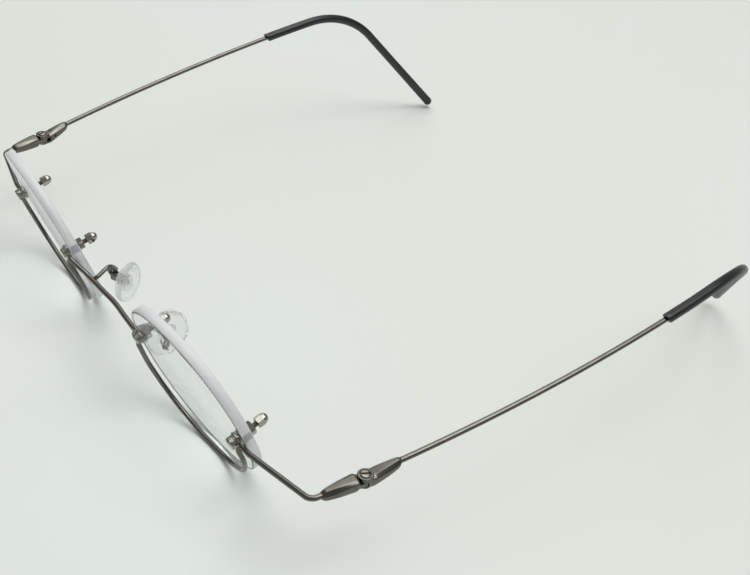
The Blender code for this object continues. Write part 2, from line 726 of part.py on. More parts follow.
def make_temple_block(pivot):
    body = block_loft(BLOCK_REAR_REACH, 0, climb_line)
    piece = add_object("temple_block_left", body, STEEL, TEMPLE_FRAME, pivot)
    half = BLOCK_HEIGHT / 2
    fuse(piece, disc(EAR_RADIUS, -half, half, EAR_SIDES))
    slot = TONGUE_THICKNESS / 2 + TONGUE_CLEARANCE
    depth = TONGUE_RADIUS + 0.15 * MM
    wide = 2 * BLOCK_WIDTH
    cut(piece, block((-wide, -wide, -slot), (wide, depth, slot)))
    cut(piece, disc(HINGE_SCREW_DIAMETER / 2 + BORE_CLEARANCE, -BLOCK_HEIGHT, BLOCK_HEIGHT))
    sunk = half - HINGE_HEAD_SUNK
    cut(piece, disc(HINGE_HEAD_DIAMETER / 2 + BORE_CLEARANCE, sunk, BLOCK_HEIGHT))
    side = Vector((-BLOCK_WIDTH / 2, SIDE_HOLE_BACK, climb_line(SIDE_HOLE_BACK)))
    side_place = place_on(side, Vector((0, 1, 0)), Vector((-1, 0, 0)))
    cut(piece, moved(disc(SIDE_HOLE_DIAMETER / 2, -SIDE_HOLE_DEPTH, BLOCK_WIDTH, SMALL_ROUND), side_place))
    mouth = Vector((0, BLOCK_REAR_REACH, climb_line(BLOCK_REAR_REACH)))
    inner = temple_point(BLOCK_REAR_REACH - WIRE_SOCKET_DEPTH)
    return cut(piece, wire_socket(mouth, (mouth - inner).normalized()))


# Hinge screw: head sunk in the upper ear, shank through tongue and lower ear
def make_hinge_screw(pivot):
    half = BLOCK_HEIGHT / 2
    seat = half - HINGE_HEAD_SUNK + SEAT_GAP
    top = seat + HINGE_HEAD_HEIGHT
    head = HINGE_HEAD_DIAMETER / 2
    shank = HINGE_SCREW_DIAMETER / 2
    profile = [(shank, -half), (shank, seat), (head, seat), (head, top - 0.1 * MM), (head - 0.15 * MM, top)]
    screw = add_object("hinge_screw_left", turned(profile, ROUND), STEEL, TEMPLE_FRAME, pivot)
    slot = block((-2 * head, -0.15 * MM, top - 0.2 * MM), (2 * head, 0.15 * MM, top + head))
    return cut(screw, slot)


# Temple wire: straight from the block's socket into the sleeve
def temple_point(distance):
    run = distance - BLOCK_REAR_REACH
    inward = -(max(run, 0) ** 2) / (2 * TEMPLE_BOW_RADIUS)
    rise = climb_line(BLOCK_REAR_REACH) + run * math.sin(TEMPLE_CLIMB)
    return Vector((inward, BLOCK_REAR_REACH + run * math.cos(TEMPLE_CLIMB), rise))


def make_temple_wire(pivot):
    start = BLOCK_REAR_REACH - WIRE_SOCKET_DEPTH + 2 * SEAT_GAP
    end = SLEEVE_START + SLEEVE_SOCKET - 2 * SEAT_GAP
    steps = 10
    points = [temple_point(start + (end - start) * i / steps) for i in range(steps + 1)]
    radii = [WIRE_DIAMETER / 2] * len(points)
    return add_object("temple_wire_left", swept(points, radii), STEEL, TEMPLE_FRAME, pivot)


# Temple tip: sleeve with a slanted mouth, an ear bend and a rounded, fuller end
def temple_leg_end(toe_in, lift):
    bend = temple_point(TEMPLE_BEND_AT)
    drop = bend.z + HINGE_HEIGHT - SLEEVE_END_DIAMETER / 2 - lift
    level = math.sqrt(TEMPLE_LEG**2 - drop**2)
    inward = toe_in + HINGE_SPLAY
    toe = Vector((-math.sin(inward) * level, math.cos(inward) * level, -drop))
    return bend + toe


def make_temple_tip(name, pivot, toe_in, lift):
    bend = temple_point(TEMPLE_BEND_AT)
    end = temple_leg_end(toe_in, lift)
    sleeve_end = SLEEVE_START + SLEEVE_SOCKET
    arc = fillet_path(temple_point(sleeve_end), bend, end, TEMPLE_BEND_RADIUS, 9)
    start = temple_point(SLEEVE_START)
    along_temple = (arc[0] - start).normalized()
    points = [start, (start + arc[0]) / 2] + arc[:-1]
    leg = arc[-2]
    run = end - leg
    along = run.normalized()
    cap = SLEEVE_END_DIAMETER / 2
    points += [leg + run * 0.35, leg + run * 0.7]
    radii = [SLEEVE_DIAMETER / 2] * (len(points) - 1) + [SLEEVE_DIAMETER / 2 + (cap - SLEEVE_DIAMETER / 2) * 0.5]
    for turn in (0, 25, 50, 72, 84):
        points.append(end + along * cap * (math.sin(turn * DEG) - 1))
        radii.append(cap * math.cos(turn * DEG))
    bm = swept(points, radii)
    bm.verts.ensure_lookup_table()
    for vert in bm.verts[:WIRE_SIDES]:
        offset = (vert.co - start).z / (SLEEVE_DIAMETER / 2)
        vert.co -= along_temple * SLEEVE_MOUTH_SLANT * offset
    tip = add_object(name, bm, BLACK, TEMPLE_FRAME, pivot)
    into_sleeve = temple_point(sleeve_end) - start
    place = place_on(start, Vector((1, 0, 0)), into_sleeve.normalized())
    radius = WIRE_DIAMETER / 2 + BORE_CLEARANCE
    return cut(tip, moved(disc(radius, -SLEEVE_SOCKET, into_sleeve.length, SMALL_ROUND), place))


# Pad arm: from the back of the bridge, up over and down to the pad's box
def make_pad_arm():
    knots = bridge_path()[1]
    curve = smooth_path(knots, 24)
    root = min(curve, key=lambda p: abs(p.x - PAD_ARM_LEAVES))
    start = root + Vector((0, WIRE_DIAMETER / 2 + SEAT_GAP, 0))
    leave = start + Vector((0, PAD_ARM_DIAMETER, PAD_ARM_DIAMETER / 2))
    floor = PAD_PIN - PAD_FACE * (PAD_BOX_FLOOR + PAD_BOX_WALL + SEAT_GAP)
    heel = floor - PAD_FACE * PAD_ARM_DIAMETER * 0.5
    neck = floor - PAD_FACE * PAD_ARM_DIAMETER + PAD_UP * PAD_ARM_DIAMETER
    crown = PAD_PIN + Vector((-PAD_ARM_INWARD, -PAD_ARM_FORWARD, PAD_ARM_RISE))
    elbow = PAD_PIN + Vector((0, 0, PAD_ARM_ELBOW))
    points = smooth_path([start, leave, crown, elbow, neck, heel, floor], 4)
    radii = [PAD_ARM_DIAMETER / 2] * len(points)
    return add_object("pad_arm_left", swept(points, radii, 8), STEEL, Matrix.Identity(4), glasses)


# Pad box: two cheeks and a floor round the pad's lug, crossed by the pin
def make_pad_box():
    half = PAD_BOX_HEIGHT / 2
    back = -(PAD_BOX_FLOOR + PAD_BOX_WALL)
    box = add_object(
        "pad_box_left",
        block((-PAD_BOX_WIDTH, -half, back), (PAD_BOX_WIDTH, half, PAD_BOX_MOUTH)),
        STEEL,
        PAD_PLACE,
        glasses,
    )
    cut(box, block((-LUG_GAP, -2 * half, -PAD_BOX_FLOOR), (LUG_GAP, 2 * half, 2 * PAD_BOX_MOUTH)))
    across = Matrix.Rotation(math.pi / 2, 4, "Y")
    bore = PAD_PIN_DIAMETER / 2 + BORE_CLEARANCE
    return cut(box, moved(disc(bore, -2 * PAD_BOX_WIDTH, 2 * PAD_BOX_WIDTH, SMALL_ROUND), across))


def make_pad_pin():
    across = Matrix.Rotation(math.pi / 2, 4, "Y")
    radius = PAD_PIN_DIAMETER / 2
    solid = moved(disc(radius, -PAD_BOX_WIDTH, PAD_BOX_WIDTH, SMALL_ROUND), across)
    return add_object("pad_pin_left", solid, STEEL, PAD_PLACE, glasses)


# Pad insert: plate against the pad and a drilled lug between the box's cheeks
def make_pad_insert(pivot):
    plate = block(
        (-INSERT_WIDTH / 2, -INSERT_LENGTH / 2, LUG_REACH),
        (INSERT_WIDTH / 2, INSERT_LENGTH / 2, LUG_REACH + INSERT_THICKNESS),
    )
    insert = add_object("pad_insert_left", plate, CLEAR, Matrix.Identity(4), pivot)
    half = LUG_THICKNESS / 2
    across = Matrix.Rotation(math.pi / 2, 4, "Y")
    fuse(insert, block((-half, -LUG_RADIUS, 0), (half, LUG_RADIUS, LUG_REACH + INSERT_THICKNESS / 2)))
    fuse(insert, moved(disc(LUG_RADIUS, -half, half, SMALL_ROUND), across))
    bore = PAD_PIN_DIAMETER / 2 + BORE_CLEARANCE
    return cut(insert, moved(disc(bore, -LUG_THICKNESS, LUG_THICKNESS, SMALL_ROUND), across))


# Pad: soft oval, flat behind and crowned towards the nose
def make_nose_pad(pivot):
    turns = 24
    crown = ((1.0, 0.0), (1.0, 0.3), (0.93, 0.62), (0.76, 0.86), (0.45, 0.98))
    bm = bmesh.new()
    rings = []
    for share, rise in crown:
        height = PAD_SEAT + PAD_THICKNESS * rise
        outline = []
        for i in range(turns):
            turn = 2 * math.pi * i / turns
            x = PAD_WIDTH / 2 * share * math.cos(turn) * (1 + 0.08 * math.sin(turn))
            y = PAD_LENGTH / 2 * share * math.sin(turn)
            outline.append(bm.verts.new((x, y, height)))
        rings.append(outline)
    rings.append([bm.verts.new((0, 0, PAD_SEAT + PAD_THICKNESS))])
    for lower, upper in zip(rings, rings[1:]):
        join_rings(bm, lower, upper)
    cap_ring(bm, rings[0])
    return add_object("nose_pad_left", settle(bm), SILICONE, Matrix.Identity(4), pivot)


hinge_left = add_pivot("hinge_pivot_left", HINGE_PLACE)
hinge_right = add_pivot("hinge_pivot_right", MIRROR @ HINGE_PLACE @ MIRROR)
pad_left = add_pivot("pad_pivot_left", PAD_PLACE)
pad_right = add_pivot("pad_pivot_right", MIRROR @ PAD_PLACE @ MIRROR)

make_bridge()
front_pieces = [make_lens(), make_rim_wire(), make_end_piece(), make_front_block()]
for end, hole in HOLES.items():
    front_pieces.append(make_lens_screw(end, hole))
    front_pieces.append(make_washer(end, hole, "front", WASHER_DEPTH))
    front_pieces.append(make_sleeve(end, hole))
    front_pieces.append(make_washer(end, hole, "rear", REAR_WASHER_DEPTH))
    front_pieces.append(make_hex_nut(end, hole))
    front_pieces.append(make_dome_nut(end, hole))
front_pieces += [make_pad_arm(), make_pad_box(), make_pad_pin()]
temple_pieces = [
    make_temple_block(hinge_left),
    make_hinge_screw(hinge_left),
    make_temple_wire(hinge_left),
]
pad_pieces = [make_pad_insert(pad_left), make_nose_pad(pad_left)]

for pieces, parent in ((front_pieces, glasses), (temple_pieces, hinge_right), (pad_pieces, pad_right)):
    for piece in pieces:
        mirror_twin(piece, piece.name.replace("_left", "_right"), parent)

# The tips were bent by hand, so each has its own toe-in
make_temple_tip("temple_tip_left", hinge_left, TEMPLE_TOE_IN_LEFT, TIP_LIFT_LEFT)
tip_pattern = make_temple_tip("tip_pattern", hinge_left, TEMPLE_TOE_IN_RIGHT, TIP_LIFT_RIGHT)
mirror_twin(tip_pattern, "temple_tip_right", hinge_right)
bpy.data.objects.remove(tip_pattern)

# The origin is the centre of the footprint, on the table
bpy.context.view_layer.update()
corners = []
for item in bpy.data.objects:
    if item.type == "MESH":
        corners += [item.matrix_world @ vert.co for vert in item.data.vertices]
low = Vector([min(c[i] for c in corners) for i in range(3)])
high = Vector([max(c[i] for c in corners) for i in range(3)])
glasses.location = Vector((-(low.x + high.x) / 2, -(low.y + high.y) / 2, -low.z))
bpy.context.view_layer.update()

print("size mm", [round(v / MM, 2) for v in high - low])
print("shift mm", [round(v / MM, 4) for v in glasses.location])
for pivot in (hinge_left, hinge_right, pad_left, pad_right):
    world = pivot.matrix_world
    place = [round(v, 6) for v in world.translation]
    print(pivot.name, place, "x", [round(v, 5) for v in world.col[0][:3]], "z", [round(v, 5) for v in world.col[2][:3]])
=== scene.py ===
import json
from math import acos, cos, pi, sin, sqrt, tan

import bpy
import numpy as np
from mathutils import Matrix, Vector
from mathutils.geometry import delaunay_2d_cdt


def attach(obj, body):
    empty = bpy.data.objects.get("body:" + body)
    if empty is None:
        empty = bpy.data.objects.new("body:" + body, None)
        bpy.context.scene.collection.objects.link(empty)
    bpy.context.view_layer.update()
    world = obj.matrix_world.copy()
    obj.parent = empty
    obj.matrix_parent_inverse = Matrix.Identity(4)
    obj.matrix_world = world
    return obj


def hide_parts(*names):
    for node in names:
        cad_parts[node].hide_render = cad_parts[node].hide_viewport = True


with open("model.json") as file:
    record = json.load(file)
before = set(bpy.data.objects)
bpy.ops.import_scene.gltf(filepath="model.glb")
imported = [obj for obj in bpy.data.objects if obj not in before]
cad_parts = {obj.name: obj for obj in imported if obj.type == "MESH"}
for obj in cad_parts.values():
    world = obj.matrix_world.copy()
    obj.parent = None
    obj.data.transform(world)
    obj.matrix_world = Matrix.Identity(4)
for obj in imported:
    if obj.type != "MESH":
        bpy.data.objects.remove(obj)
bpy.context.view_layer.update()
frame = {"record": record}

mm = 0.001
deg = pi / 180
sharpFrom = 38 * deg
sides = (("left", False), ("right", True))


class dims(dict):
    # a dictionary of sizes that is read as hinge.ear
    __getattr__ = dict.__getitem__


# sizes that several pieces share, in millimetres, with the values that the solids have
lensSize = dims(width=35.4, rise=18.4, drop=17.7, power=2.2, thick=2.0, bulge=0.12, gap=27.3,
                tilt=20.6 * deg, wrap=3.4 * deg, chamfer=0.16)
holeAt = dims(nasalInset=2.2, temporalInset=2.3, nasalHeight=4.4, temporalHeight=1.2)
stack = dims(screw=1.1, head=2.1, headHigh=0.55, eyelet=2.5, eyeletThick=0.3, boss=3.0, bossThick=0.45,
             washer=2.8, washerThick=0.15, sleeveWall=0.2, nutFlats=2.4, nutHigh=1.0, thread=0.9,
             domeFlats=2.0, domeHigh=2.4, seat=0.04, bore=0.05)
wire = dims(frame=1.1, rim=1.0)
hinge = dims(spacing=133.7, back=17.2, height=18.5, splay=8.4 * deg, width=2.9, tall=2.6, climb=20 * deg,
             dip=5.2 * deg, nose=1.6, frontReach=8.3, rearReach=6.8, corner=10.3, cornerRadius=1.8,
             ear=1.5, gap=0.12, tongue=1.35, tongueThick=0.9, tongueClear=0.05, socket=1.3)
seat, bore = stack.seat, stack.bore
screwBore = stack.screw / 2 + bore
wireBore = wire.frame / 2 + bore

# depths behind the screw heads' faces: each layer starts a seat behind the one before
depth, reached = dims(), stack.headHigh
for layer, thick in (("eyelet", stack.eyeletThick), ("boss", stack.bossThick), ("washer", stack.washerThick),
                     ("lens", lensSize.thick), ("rearWasher", stack.washerThick), ("nut", stack.nutHigh)):
    depth[layer] = reached + seat
    reached = depth[layer] + thick
depth["dome"] = reached + stack.thread
depth["rim"] = depth.eyelet + stack.eyeletThick - wire.rim / 2 - seat
depth["wire"] = depth.lens - wire.frame / 2 - 3 * seat


def vec(*v):
    # a point or direction
    return np.array(v, float)


def unit(v):
    # the same direction, one long
    return v / np.linalg.norm(v)


def circle(count):
    # angles once round, the last one short of the first
    return np.linspace(0, 2 * np.pi, count, endpoint=False)


def smoothStep(t):
    # 3 t^2 - 2 t^3 between 0 and 1
    t = np.clip(t, 0, 1)
    return t**2 * (3 - 2 * t)


def halfWidth(height):
    # half the lens width at a height: the outline's superellipse solved for x
    limit = lensSize.rise if height > 0 else lensSize.drop
    power = lensSize.power
    return lensSize.width / 2 * (1 - (abs(height) / limit) ** power) ** (1 / power)


def outline(turns, inset=0.0):
    # superellipse with its own rise and drop: x = a cos^(2/p), y = b sin^(2/p), signs kept
    c, s = np.cos(turns), np.sin(turns)
    power = 2 / lensSize.power
    limit = np.where(s > 0, lensSize.rise, lensSize.drop) - inset
    x = (lensSize.width / 2 - inset) * np.sign(c) * np.abs(c) ** power
    y = limit * np.sign(s) * np.abs(s) ** power
    return np.stack([x, y], 1)


# the lens lies along across and upLens, and backward points from the screw heads to the nuts
tilt, wrap = lensSize.tilt, lensSize.wrap
across = vec(cos(wrap), sin(wrap), 0)
backward = vec(-sin(wrap) * cos(tilt), cos(wrap) * cos(tilt), sin(tilt))
upLens = np.cross(across, backward)
lensAxes = (across, upLens, -backward)
holes = {
    "nasal": vec(holeAt.nasalInset - halfWidth(holeAt.nasalHeight), holeAt.nasalHeight),
    "temporal": vec(halfWidth(holeAt.temporalHeight) - holeAt.temporalInset, holeAt.temporalHeight),
}
lensCentre = vec(
    lensSize.gap / 2 + lensSize.width / 2 * cos(wrap),
    -(across * holes["nasal"][0] + upLens * holes["nasal"][1])[1],
    lensSize.drop * cos(tilt) - depth.lens * sin(tilt),
)

# the hinge block lies along its own splayed axes: outwards, back along the temple, up
turnZ = np.array([[cos(hinge.splay), sin(hinge.splay), 0],
                  [-sin(hinge.splay), cos(hinge.splay), 0], [0, 0, 1]])
hingePoint = vec(hinge.spacing / 2, hinge.back, hinge.height)
hingeAxes = (turnZ[:, 0], turnZ[:, 1], vec(0, 0, 1))

# the solids stand with the middle of their footprint at the origin: the hinge joint tells the step
hingeJoint = [j for j in frame["record"]["behaviour"]["joints"] if j["name"] == "temple_left_fold"][0]
shift = np.array(hingeJoint["pos_m"]) / mm - hingePoint


def onLens(xy, d):
    # lens coordinates (x outwards, y up the lens, d behind the screw faces) to the glasses' own
    xy = np.atleast_2d(xy)
    d = np.broadcast_to(np.asarray(d, float), (len(xy),))
    return lensCentre + xy[:, :1] * across + xy[:, 1:2] * upLens + d[:, None] * backward


def onHinge(p):
    # block coordinates to the glasses' own
    return np.atleast_2d(p) @ turnZ.T + hingePoint


def inFrame(local, origin, axes):
    # points given along three axes from an origin
    local = np.asarray(local, float)
    return origin + local[..., :1] * axes[0] + local[..., 1:2] * axes[1] + local[..., 2:3] * axes[2]


def smoothPath(knots, steps):
    # Catmull-Rom curve: each span is the cubic through its two knots with the neighbours' slopes
    k = np.array(knots, float)
    k = np.vstack([2 * k[0] - k[1], k, 2 * k[-1] - k[-2]])
    t = (np.arange(steps) / steps)[None, :, None]
    p0, p1, p2, p3 = k[:-3, None], k[1:-2, None], k[2:-1, None], k[3:, None]
    square = 2 * p0 - 5 * p1 + 4 * p2 - p3
    cube = 3 * p1 - p0 - 3 * p2 + p3
    spans = (2 * p1 + (p2 - p0) * t + square * t**2 + cube * t**3) / 2
    return np.vstack([spans.reshape(-1, 3), k[-2]])


def filletPath(start, corner, end, radius, steps):
    # two straight runs joined by an arc tangent to both
    a, b = unit(start - corner), unit(end - corner)
    half = acos(float(a @ b)) / 2
    centre = corner + unit(a + b) * (radius / sin(half))
    begin = corner + a * (radius / tan(half)) - centre
    axis = unit(np.cross(a, b))
    turn = -(pi - 2 * half) * np.linspace(0, 1, steps)[:, None]
    arc = centre + begin * np.cos(turn) + np.cross(axis, begin) * np.sin(turn)
    return np.vstack([start, arc, end])


def evenly(path, spacing):
    # the same path with its points a fixed length apart, and each point's length along it
    run = np.concatenate([[0], np.cumsum(np.linalg.norm(np.diff(path, axis=0), axis=1))])
    count = max(int(run[-1] / spacing), 8)
    at = np.linspace(0, run[-1], count + 1)
    return np.stack([np.interp(at, run, path[:, i]) for i in range(3)], 1), at


def roundCorners(points, radius, steps=4):
    # each inner corner of an open outline becomes a short quadratic curve, at most 0.45 of a side long
    points = [np.array(p, float) for p in points]
    out = [points[0]]
    for before, corner, after in zip(points, points[1:], points[2:]):
        back, ahead = before - corner, after - corner
        a = corner + unit(back) * min(radius, np.linalg.norm(back) * 0.45)
        b = corner + unit(ahead) * min(radius, np.linalg.norm(ahead) * 0.45)
        for t in np.linspace(0, 1, steps + 1):
            out.append((1 - t) ** 2 * a + 2 * t * (1 - t) * corner + t**2 * b)
    return np.array(out + [points[-1]])


def shell(grid, around=False):
    # rings (n, m, 3), each closed on itself; joined end to end, or closed by a point at both ends
    n, m, _ = grid.shape
    verts = grid.reshape(-1, 3)
    cols = np.arange(m)
    r, c = np.meshgrid(np.arange(n if around else n - 1), cols, indexing="ij")
    nextR, nextC = (r + 1) % n, (c + 1) % m
    quads = np.stack([r * m + c, nextR * m + c, nextR * m + nextC, r * m + nextC], -1).reshape(-1, 4)
    tris = np.zeros((0, 3), int)
    if not around:
        caps = [np.stack([np.full(m, tip), row + cols, row + (cols + 1) % m], 1)
                for tip, row in ((len(verts), 0), (len(verts) + 1, (n - 1) * m))]
        verts = np.vstack([verts, grid[0].mean(0), grid[-1].mean(0)])
        tris = np.vstack([caps[0], caps[1][:, [0, 2, 1]]])
    return outwards(verts, quads, tris)


def outwards(verts, quads, tris):
    # a closed shell with a negative volume is turned round
    every = np.vstack([quads[:, :3], quads[:, [0, 2, 3]], tris])
    a, b, c = verts[every[:, 0]], verts[every[:, 1]], verts[every[:, 2]]
    if (a * np.cross(b, c)).sum() < 0:
        quads, tris = quads[:, ::-1], tris[:, ::-1]
    return verts, quads, tris


def mirrored(piece):
    # the same shell on the other side of the nose
    verts, quads, tris = piece
    return verts * vec(-1, 1, 1), quads[:, ::-1], tris[:, ::-1]


def joined(shells):
    # several shells as one list of points and faces, with the shell's number for each face
    verts, quads, tris = zip(*shells)
    bases = np.cumsum([0] + [len(v) for v in verts])
    number = [np.full(len(part), i) for kind in (quads, tris) for i, part in enumerate(kind)]
    quads, tris = [np.vstack([part + base for part, base in zip(kind, bases)]) for kind in (quads, tris)]
    return np.vstack(verts), quads, tris, np.concatenate(number)


def makeMesh(name, shells, materials, tags=(0,)):
    # shells in millimetres, in the glasses' own frame, to an object at the origin
    # tags give each shell the number of its material
    verts, quads, tris, number = joined(shells)
    mesh = bpy.data.meshes.new(name)
    mesh.from_pydata(((verts + shift) * mm).tolist(), [], quads.tolist() + tris.tolist())
    for material in materials:
        mesh.materials.append(material)
    mesh.polygons.foreach_set("material_index", np.asarray(tags)[number].astype(np.int32))
    mesh.validate()
    mesh.shade_smooth()
    mesh.set_sharp_from_angle(angle=sharpFrom)
    item = bpy.data.objects.new(name, mesh)
    bpy.context.collection.objects.link(item)
    return item


def carve(item, *cutterShells, operation="DIFFERENCE"):
    # Booleans with closed shells, each applied at once
    for cutterShell in cutterShells:
        cutter = makeMesh("cutter", [cutterShell], [])
        step = item.modifiers.new("carve", "BOOLEAN")
        step.operation, step.solver, step.object = operation, "EXACT", cutter
        graph = bpy.context.evaluated_depsgraph_get()
        graph.update()
        result = bpy.data.meshes.new_from_object(item.evaluated_get(graph))
        item.modifiers.clear()
        old, item.data = item.data, result
        bpy.data.meshes.remove(old)
        bpy.data.objects.remove(cutter, do_unlink=True)
    item.data.shade_smooth()
    item.data.set_sharp_from_angle(angle=sharpFrom)


def easeEdges(item, width, segments=2):
    # a small bevel on the sharp edges, so that they catch the light
    bevel = item.modifiers.new("easedEdges", "BEVEL")
    bevel.width, bevel.segments = width * mm, segments
    bevel.limit_method, bevel.angle_limit = "ANGLE", 35 * deg
    bevel.harden_normals = True
    return item


def settle(item, body, replaced, flip):
    # the piece moves with a body and stands for CAD nodes
    if flip:
        item.data.transform(Matrix.Diagonal((-1, 1, 1, 1)))
        item.data.flip_normals()
    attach(item, body)
    if replaced:
        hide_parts(*replaced)


def ringFrames(path, hint):
    # section axes carried along a path without twisting: each turns only as the tangent does
    tangent = np.gradient(path, axis=0)
    tangent /= np.linalg.norm(tangent, axis=1)[:, None]
    side = np.zeros_like(path)
    side[0] = unit(hint - tangent[0] * (hint @ tangent[0]))
    for i in range(1, len(path)):
        side[i] = unit(side[i - 1] - tangent[i] * (side[i - 1] @ tangent[i]))
    return tangent, side, np.cross(tangent, side)


def ringsAlong(path, side, other, thin, wide, count):
    # elliptic rings on a path, with their two half axes given at each point
    turn = circle(count)[None, :, None]
    thin, wide = [np.broadcast_to(v, (len(path),))[:, None, None] for v in (thin, wide)]
    return path[:, None] + side[:, None] * np.cos(turn) * thin + other[:, None] * np.sin(turn) * wide


def tube(path, thin, wide, hint=vec(0, 0, 1), count=28):
    # a bar carried along a path, with flat ends
    _, side, other = ringFrames(path, hint)
    return shell(ringsAlong(path, side, other, thin, wide, count))


def lathed(radii, heights, turn, origin, axes, around=False):
    # rings at their heights, with a radius for each angle
    grid = np.stack([radii * np.cos(turn), radii * np.sin(turn), heights[:, None] + 0 * radii], -1)
    return shell(inFrame(grid, origin, axes), around)


def turned(profile, origin, axes, count=56, around=False):
    # a profile of (radius, height) turned about the third axis
    profile, turn = np.asarray(profile, float), circle(count)
    return lathed(profile[:, :1] + 0 * turn, profile[:, 1], turn, origin, axes, around)


def disc(radius, low, high, origin, axes, count=32):
    # a round plug between two heights
    return turned([(radius, low), (radius, high)], origin, axes, count)


def boxShell(low, high, origin, axes):
    # a plain block, used to carve and to add
    x, y, z = [np.array(pair, float) for pair in zip(low, high)]
    square = np.array([[x[0], y[0]], [x[1], y[0]], [x[1], y[1]], [x[0], y[1]]])
    grid = np.stack([np.column_stack([square, np.full(4, h)]) for h in z])
    return shell(inFrame(grid, origin, axes))


def colour(code):
    # sRGB hex to the linear colour that the shaders take
    parts = [int(code[i:i + 2], 16) / 255 for i in (1, 3, 5)]
    return [p / 12.92 if p <= 0.04045 else ((p + 0.055) / 1.055) ** 2.4 for p in parts] + [1.0]


def node(m, kind, settings=None, links=None):
    # one node: settings by socket, attribute or colour stops, links from (node, socket) to a socket
    item = m.node_tree.nodes.new(kind)
    for key, value in (settings or {}).items():
        if key == "stops":
            for index in (0, -1):
                element = item.color_ramp.elements[index]
                element.position, element.color = value[index][0], colour(value[index][1])
            for place, code in value[1:-1]:
                item.color_ramp.elements.new(place).color = colour(code)
        elif isinstance(key, int) or key in item.inputs:
            item.inputs[key].default_value = value
        else:
            setattr(item, key, value)
    for key, (other, socket) in (links or {}).items():
        m.node_tree.links.new(other.outputs[socket], item.inputs[key])
    return item


def newMaterial(name):
    # a material with an empty node tree
    m = bpy.data.materials.new(name)
    m.use_nodes = True
    m.node_tree.nodes.clear()
    return m


def finishMaterial(m, shader):
    # the shader becomes the surface
    node(m, "ShaderNodeOutputMaterial", links={"Surface": (shader, 0)})
    return m


def twoTone(name, cloudy, grainy, stops, rough, bump, settings, evenGloss=False):
    # two close tones in cloudy patches; the grain gives the relief and, unless the gloss is even, the gloss
    # cloudy and grainy are (patch in millimetres, detail), and bump is (strength, height in millimetres)
    m = newMaterial(name)
    place = node(m, "ShaderNodeTexCoord")
    cloud, grain = [node(m, "ShaderNodeTexNoise", {"Scale": 1 / (patch * mm), "Detail": detail},
                         {"Vector": (place, "Object")}) for patch, detail in (cloudy, grainy)]
    tone = node(m, "ShaderNodeValToRGB", {"stops": stops}, {"Fac": (cloud, "Fac")})
    gloss = node(m, "ShaderNodeMapRange", {"To Min": rough[0], "To Max": rough[1]},
                 {"Value": (cloud if evenGloss else grain, "Fac")})
    relief = node(m, "ShaderNodeBump", {"Strength": bump[0], "Distance": bump[1] * mm},
                  {"Height": (grain, "Fac")})
    links = {"Base Color": (tone, "Color"), "Roughness": (gloss, "Result"), "Normal": (relief, "Normal")}
    return finishMaterial(m, node(m, "ShaderNodeBsdfPrincipled", settings, links))


def platedMetal(name, low, high, rough, grain, bump):
    # plating: clouds of 3 mm, with fine grain in gloss and relief
    tones = [(0.3, low), (0.7, high)]
    return twoTone(name, (3.0, 3.0), (grain, 4.0), tones, rough, (bump, 0.02), {"Metallic": 1.0})


# gunmetal-plated nickel silver wire, drawn and polished: dark, with narrow bright streaks
gunmetalWire = platedMetal("gunmetalPlatedWire", "#64625D", "#726F69", (0.18, 0.28), 0.12, 0.12)
# the same plating on the machined hinge blocks, satin from tumbling: a broad soft gleam on each facet
satinBlock = platedMetal("satinGunmetalBlock", "#62605A", "#6E6B64", (0.17, 0.24), 0.08, 0.12)
# hinge screws and pad pins: plated, rubbed a little brighter
rubbedHead = platedMetal("rubbedGunmetalHead", "#86817A", "#98938B", (0.16, 0.24), 0.08, 0.2)
# lens screw heads, eyelets and bosses, nickel silver turned and tumbled: pale and warm
screwFace = platedMetal("tumbledNickelSilver", "#9A968B", "#A9A599", (0.16, 0.24), 0.08, 0.15)
# turned nickel silver nuts, bright: faint yellow warmth and crisp facets
nickelNut = platedMetal("turnedNickelSilver", "#A09C94", "#B0ACA4", (0.06, 0.12), 0.06, 0.08)
# screw thread under old oil: brown and dull
oiledThread = platedMetal("oiledSteelThread", "#77726A", "#918B81", (0.3, 0.45), 0.05, 0.3)


def letLightPass(m, body, tint):
    # shadow rays go straight through with a tint, so that the table is lit behind the piece
    passing = node(m, "ShaderNodeBsdfTransparent", {"Color": colour(tint)})
    rays = node(m, "ShaderNodeLightPath")
    links = {0: (rays, "Is Shadow Ray"), 1: (body, 0), 2: (passing, 0)}
    return finishMaterial(m, node(m, "ShaderNodeMixShader", links=links))


def clearPlastic(name, tint, ior, rough, shadow, plain):
    # clear moulded plastic: refracts, keeps a soft surface gloss, and has a plain see-through share
    m = newMaterial(name)
    shader = node(m, "ShaderNodeBsdfPrincipled",
                  {"Base Color": colour(tint), "Roughness": rough, "IOR": ior, "Transmission Weight": 1.0})
    thin = node(m, "ShaderNodeBsdfTransparent", {"Color": colour("#F8F9F8")})
    body = node(m, "ShaderNodeMixShader", {0: plain}, {1: (shader, 0), 2: (thin, 0)})
    return letLightPass(m, body, shadow)


